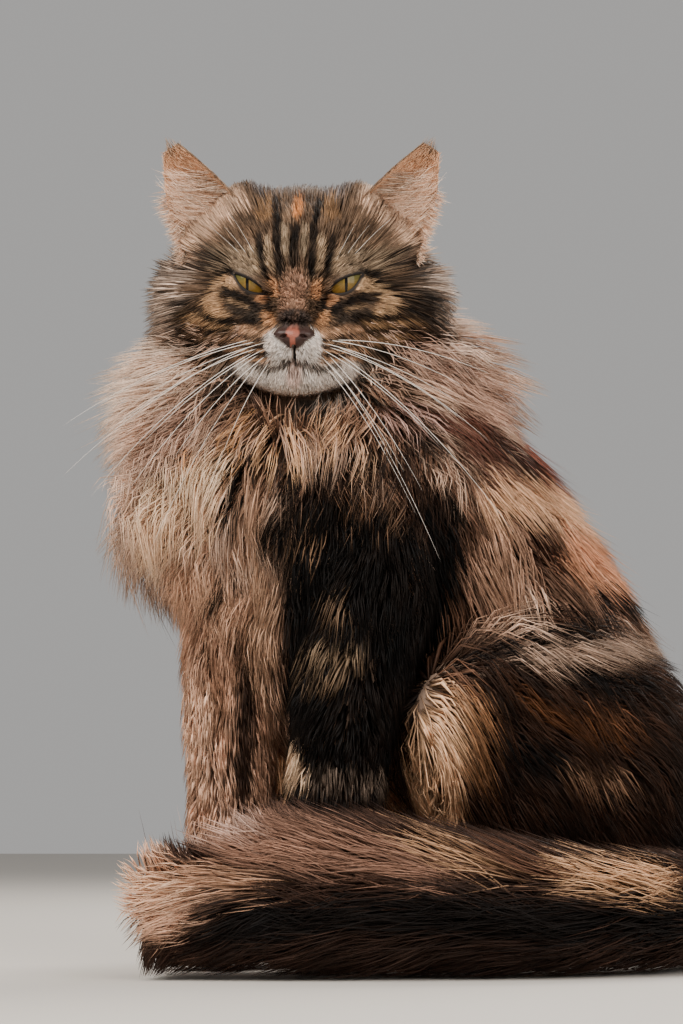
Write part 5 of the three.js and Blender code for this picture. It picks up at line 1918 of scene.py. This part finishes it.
class CAT_OT_ruff_coat(bpy.types.Operator):
    """The deep ruff round the neck"""

    bl_idname = "cat.ruff_coat"
    bl_label = "Ruff"

    def execute(self, context):
        looks = dict(grizzle=0.14, root=0.5, tip=1.15, ticked=0.05, shift=2.5)
        for name, half, n, seed in (
            ("front", (math.pi, FULL), 10600, 400), ("back", (0, math.pi), 6400, 420),
        ):
            growths = layers(
                "neck", n, seed,
                dict(
                    window=((0.015, 0.93), half), rings=3, length=ruff_length, lift=1.25,
                    gravity=0.15, swirl=0.3, hides=over_chin,
                ),
                (0.68, 0.38, dict(tip=ruff_tip, wave=2.8, clump=0.66, clumps=n // 22)),
                (0.09, 0.16, dict(tip=-0.1, lift=1.1, gravity=0.2, swirl=0.5, wave=3.0)),
                (0.16, 1.0, dict(tip=0.3, length=lambda t, r, h: 0.8 * ruff_length(t, r, h))),
            )
            turned_up = dict(rings=3, turned=upwards, lift=1.2, gravity=0.0, **CURLS[name])
            growths.insert(2, ("neck", 0.4, turned_up))
            body_coat(f"coat_ruff_{name}", growths, looks)
        return {"FINISHED"}


class CAT_OT_body_coat(bpy.types.Operator):
    """The coat of the trunk and chest"""

    bl_idname = "cat.body_coat"
    bl_label = "Body coat"

    def execute(self, context):
        looks = dict(grizzle=0.16, root=0.45, tip=1.15, ticked=0.1, shift=2.5)
        for name, around, n, seed in (
            ("left", (-1.6, math.pi / 2), 9200, 500), ("right", (math.pi / 2, 4.7), 5600, 520),
        ):
            growths = layers(
                "trunk", n, seed,
                dict(window=((0.06, 0.97), around), rings=2, lift=1.7, gravity=0.4, swirl=0.3),
                (0.8, 0.44, dict(length=42, tip=0.02, wave=0.8, clump=0.5, clumps=n // 14)),
                (0.06, 0.2, dict(length=46, tip=-0.22, lift=1.3, swirl=0.5, wave=2.0)),
                (0.14, 1.2, dict(length=32, tip=0.4)),
            )
            body_coat(f"coat_back_{name}", growths, looks)
        window = ((0.1, 0.98), (-math.pi, 0.6))
        chest = dict(window=window, rings=3, lift=1.5, gravity=0.2, swirl=0.35)
        locks = dict(chest, length=50, tip=0.0, wave=1.8, clump=0.55, clumps=520)
        growths = [
            ("chest", 0.42, dict(locks, count=6000, seed=540)),
            ("chest", 1.2, dict(chest, count=1100, seed=549, length=36, tip=0.4)),
        ]
        body_coat("coat_chest", growths, looks)
        return {"FINISHED"}


class CAT_OT_leg_coats(bpy.types.Operator):
    """Coats of the four legs and their paws"""

    bl_idname = "cat.leg_coats"
    bl_label = "Leg coats"

    LOOKS = dict(grizzle=0.16, root=0.5, tip=1.15, ticked=0.08, shift=1.5)

    def execute(self, context):
        for side, n, seed, tip, slot in (
            ("left", 9400, 600, 0.0, "body_fur"), ("right", 6400, 630, 0.25, "pale_leg_fur"),
        ):
            growths = layers(
                f"haunch_{side}", n, seed,
                dict(window=((0.001, 0.97), (0, FULL)), rings=2, lift=1.7, gravity=0.55, swirl=0.3),
                (0.8, 0.42, dict(length=37, tip=0.02, wave=0.8, clump=0.5, clumps=n // 14)),
                (0.05, 0.2, dict(length=40, tip=-0.22, lift=1.3, gravity=0.6, swirl=0.5, wave=2.0)),
                (0.15, 1.2, dict(length=27, tip=0.4)),
            )
            body_coat(f"coat_hindleg_{side}", growths, self.LOOKS)
            self.foreleg(side, seed, tip, slot)
        short = dict(
            count=1900, window=((0.03, 0.98), (0, FULL)), length=8, rings=2, tip=0.15, lift=1.9,
            gravity=0.0, swirl=0.2, clump=0.3, clumps=130,
        )
        paws = [
            (paw, 0.36, dict(short, seed=seed))
            for paw, seed in (
                ("forepaw_left", 660), ("hindpaw_left", 663),
                ("forepaw_right", 670), ("hindpaw_right", 673),
            )
        ]
        body_coat("coat_paws", paws, self.LOOKS)
        return {"FINISHED"}

    def foreleg(self, side, seed, tip, slot):
        """A foreleg's two layers, the hair of the upper one longest at the elbow."""
        shared = dict(window=((0.03, 0.97), (0, FULL)), rings=2, gravity=0.1, swirl=0.25)
        upper = dict(
            shared, count=4900, seed=seed + 10, lift=1.6, tip=tip, wave=0.6, clump=0.5, clumps=340,
            length=lambda t, r, h: 32 - 19 * smooth(0.3, 0.75, t),
        )
        under = dict(shared, count=900, seed=seed + 19, lift=1.7, tip=0.4, length=16)
        growths = [(f"foreleg_{side}", 0.36, upper), (f"foreleg_{side}", 1.0, under)]
        body_coat(f"coat_foreleg_{side}", growths, self.LOOKS)


# The brush ends at a parabola over its height: x of its furthest place, at a height of TAIL_UP,
# and how far that falls back at the top and at the ground.
TAIL_END, TAIL_UP, TAIL_ROUND = -111.0, 44.0, (150.0, 30.0)
TAIL_BEHIND = -142.0  # y behind which hair grows beyond that end as well
TAIL_LONGEST = 74


def tail_end(here):
    """x where the brush ends at the height of each place."""
    rounding = np.where(here[:, 2] > TAIL_UP, *TAIL_ROUND)
    return TAIL_END + rounding * ((here[:, 2] - TAIL_UP) / TAIL_UP) ** 2


def tail_length(t, r, here):
    """Length of the tail's hair, which ends near the end of the brush."""
    left = np.maximum(here[:, 0] - tail_end(here), 6) * 0.8
    return np.minimum(TAIL_LONGEST, np.where(t > 0.5, left, TAIL_LONGEST))


def tail_grown(t, r, here):
    """Density of the tail's tufts: none in front beyond the slant that ends the brush above."""
    before_end = here[:, 0] > tail_end(here) + 7
    return before_end | (here[:, 2] < TAIL_UP) | (here[:, 1] > TAIL_BEHIND)


def tail_tip(t, r, here):
    """The brush's hair sinks towards its end above, and so rounds it."""
    return 0.55 * smooth(0.3, 0.7, (here[:, 2] - TAIL_UP) / TAIL_UP) * smooth(0.68, 0.84, t)


class CAT_OT_tail_coat(bpy.types.Operator):
    """The brush of the tail"""

    bl_idname = "cat.tail_coat"
    bl_label = "Tail coat"

    def execute(self, context):
        looks = dict(grizzle=0.15, root=0.45, tip=1.18, ticked=0.05, shift=3.0)
        grown = {"density": tail_grown}
        for name, along, n, seed in (
            ("base", (0.01, 0.45), 4000, 700), ("tip", (0.42, 0.885), 8200, 720),
        ):
            growths = layers(
                "tail", n, seed,
                dict(
                    window=(along, (0, FULL)), rings=3, length=tail_length, gravity=0.03, swirl=0.22
                ),
                (0.8, 0.42, dict(
                    grown, tip=tail_tip, lift=1.3, wave=2.0, clump=0.5, clumps=n // 16
                )),
                (0.06, 0.2, dict(grown, tip=-0.1, lift=1.1, gravity=0.05, swirl=0.4, wave=3.0)),
                (0.14, 1.2, dict(
                    tip=0.4, lift=1.35, length=lambda t, r, h: 0.7 * tail_length(t, r, h)
                )),
            )
            body_coat(f"coat_tail_{name}", growths, looks)
        return {"FINISHED"}


class CAT_OT_whiskers(bpy.types.Operator):
    """Whiskers of the pads and over the eyes"""

    bl_idname = "cat.whiskers"
    bl_label = "Whiskers"

    PER_ROW = (3, 3, 3, 2)
    RINGS, SIDES = 20, 6

    def execute(self, context):
        draw = np.random.default_rng(900)
        longest = context.scene.cat_coat.whisker / MM
        parts = []
        for side in (LEFT, RIGHT):
            for row, across in enumerate(self.PER_ROW):
                for k in range(across):
                    x = 13.5 + 4.2 * k + draw.uniform(-0.6, 0.6)
                    z = -30.5 - 3.4 * row + 0.4 * k + draw.uniform(-0.4, 0.4)
                    size = longest * (0.68 + 0.15 * k) * draw.uniform(0.75, 1.02)
                    angle = math.radians(-6 - 15 * row + draw.uniform(-8, 8))
                    droop = 0.2 + 0.05 * row
                    parts.append(self.hair(side, x, z, size, angle, droop, 0.17, draw))
            for k in range(3):  # over the eye
                place, angle = (21 + 4.5 * k, 12 + 1.3 * k), math.radians(64 - 8 * k)
                parts.append(self.hair(side, *place, draw.uniform(22, 38), angle, 0.1, 0.1, draw))
        mesh = mesh_of("whiskers", *joined(parts))
        link("whiskers", mesh, made("whisker_keratin", whisker_material))
        return {"FINISHED"}

    def hair(self, side, x, z, size, angle, droop, radius, draw):
        """A tapered tube along a parabola that leaves the face sideways and bends down by droop
        times its length; its radius falls as a power of what is left of it."""
        s = np.linspace(0, 1, self.RINGS)[:, None]
        start = np.array([x, float(on_face(x, z)) + 0.5, z])
        forward = -0.38 + draw.uniform(-0.12, 0.12)
        heading = unit(np.array([math.cos(angle), forward, math.sin(angle)]))
        fall = np.array([0.0, 0.25, -1.0]) * size * droop
        path = start + heading * size * s + fall * s**2
        ahead = unit(np.gradient(path, axis=0))
        across = unit(np.cross(ahead, UP))
        over = np.cross(across, ahead)
        thick = radius * np.maximum(1 - s, 0.0) ** 0.6 + 0.02
        turn = (np.arange(self.SIDES) * FULL / self.SIDES)[None, :, None]
        round_it = across[:, None] * np.cos(turn) + over[:, None] * np.sin(turn)
        ring = path[:, None] + thick[:, None] * round_it
        points = np.concatenate([ring.reshape(-1, 3), path[:1], path[-1:]])
        triangles = capped_triangles(self.RINGS, self.SIDES)
        return outwards(out_of_head(mirrored(points, side)), triangles)


class CAT_PT_panel(bpy.types.Panel):
    """The steps that make the cat, and its sizes and colours"""

    bl_idname = "CAT_PT_panel"
    bl_label = "Seated cat"
    bl_space_type = "VIEW_3D"
    bl_region_type = "UI"
    bl_category = "Cat"

    def draw(self, context):
        for operator in OPERATORS:
            self.layout.operator(operator.bl_idname)
        for group in (context.scene.cat_coat, context.scene.cat_tabby):
            for name in group.__annotations__:
                self.layout.prop(group, name)


OPERATORS = (
    CAT_OT_stage,
    CAT_OT_skin,
    CAT_OT_eyes,
    CAT_OT_face_coat,
    CAT_OT_ear_coat,
    CAT_OT_ruff_coat,
    CAT_OT_body_coat,
    CAT_OT_leg_coats,
    CAT_OT_tail_coat,
    CAT_OT_whiskers,
)
CLASSES = (Tabby, Coat, *OPERATORS, CAT_PT_panel)


def register():
    """Registers the classes and hangs both groups of settings on the scene."""
    for kind in CLASSES:
        bpy.utils.register_class(kind)
    bpy.types.Scene.cat_tabby = bpy.props.PointerProperty(type=Tabby)
    bpy.types.Scene.cat_coat = bpy.props.PointerProperty(type=Coat)


def unregister():
    """The way back."""
    del bpy.types.Scene.cat_coat
    del bpy.types.Scene.cat_tabby
    for kind in reversed(CLASSES):
        bpy.utils.unregister_class(kind)


def main():
    """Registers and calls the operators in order."""
    register()
    for operator in OPERATORS:
        family, name = operator.bl_idname.split(".")
        getattr(getattr(bpy.ops, family), name)()


if __name__ == "__main__":
    main()
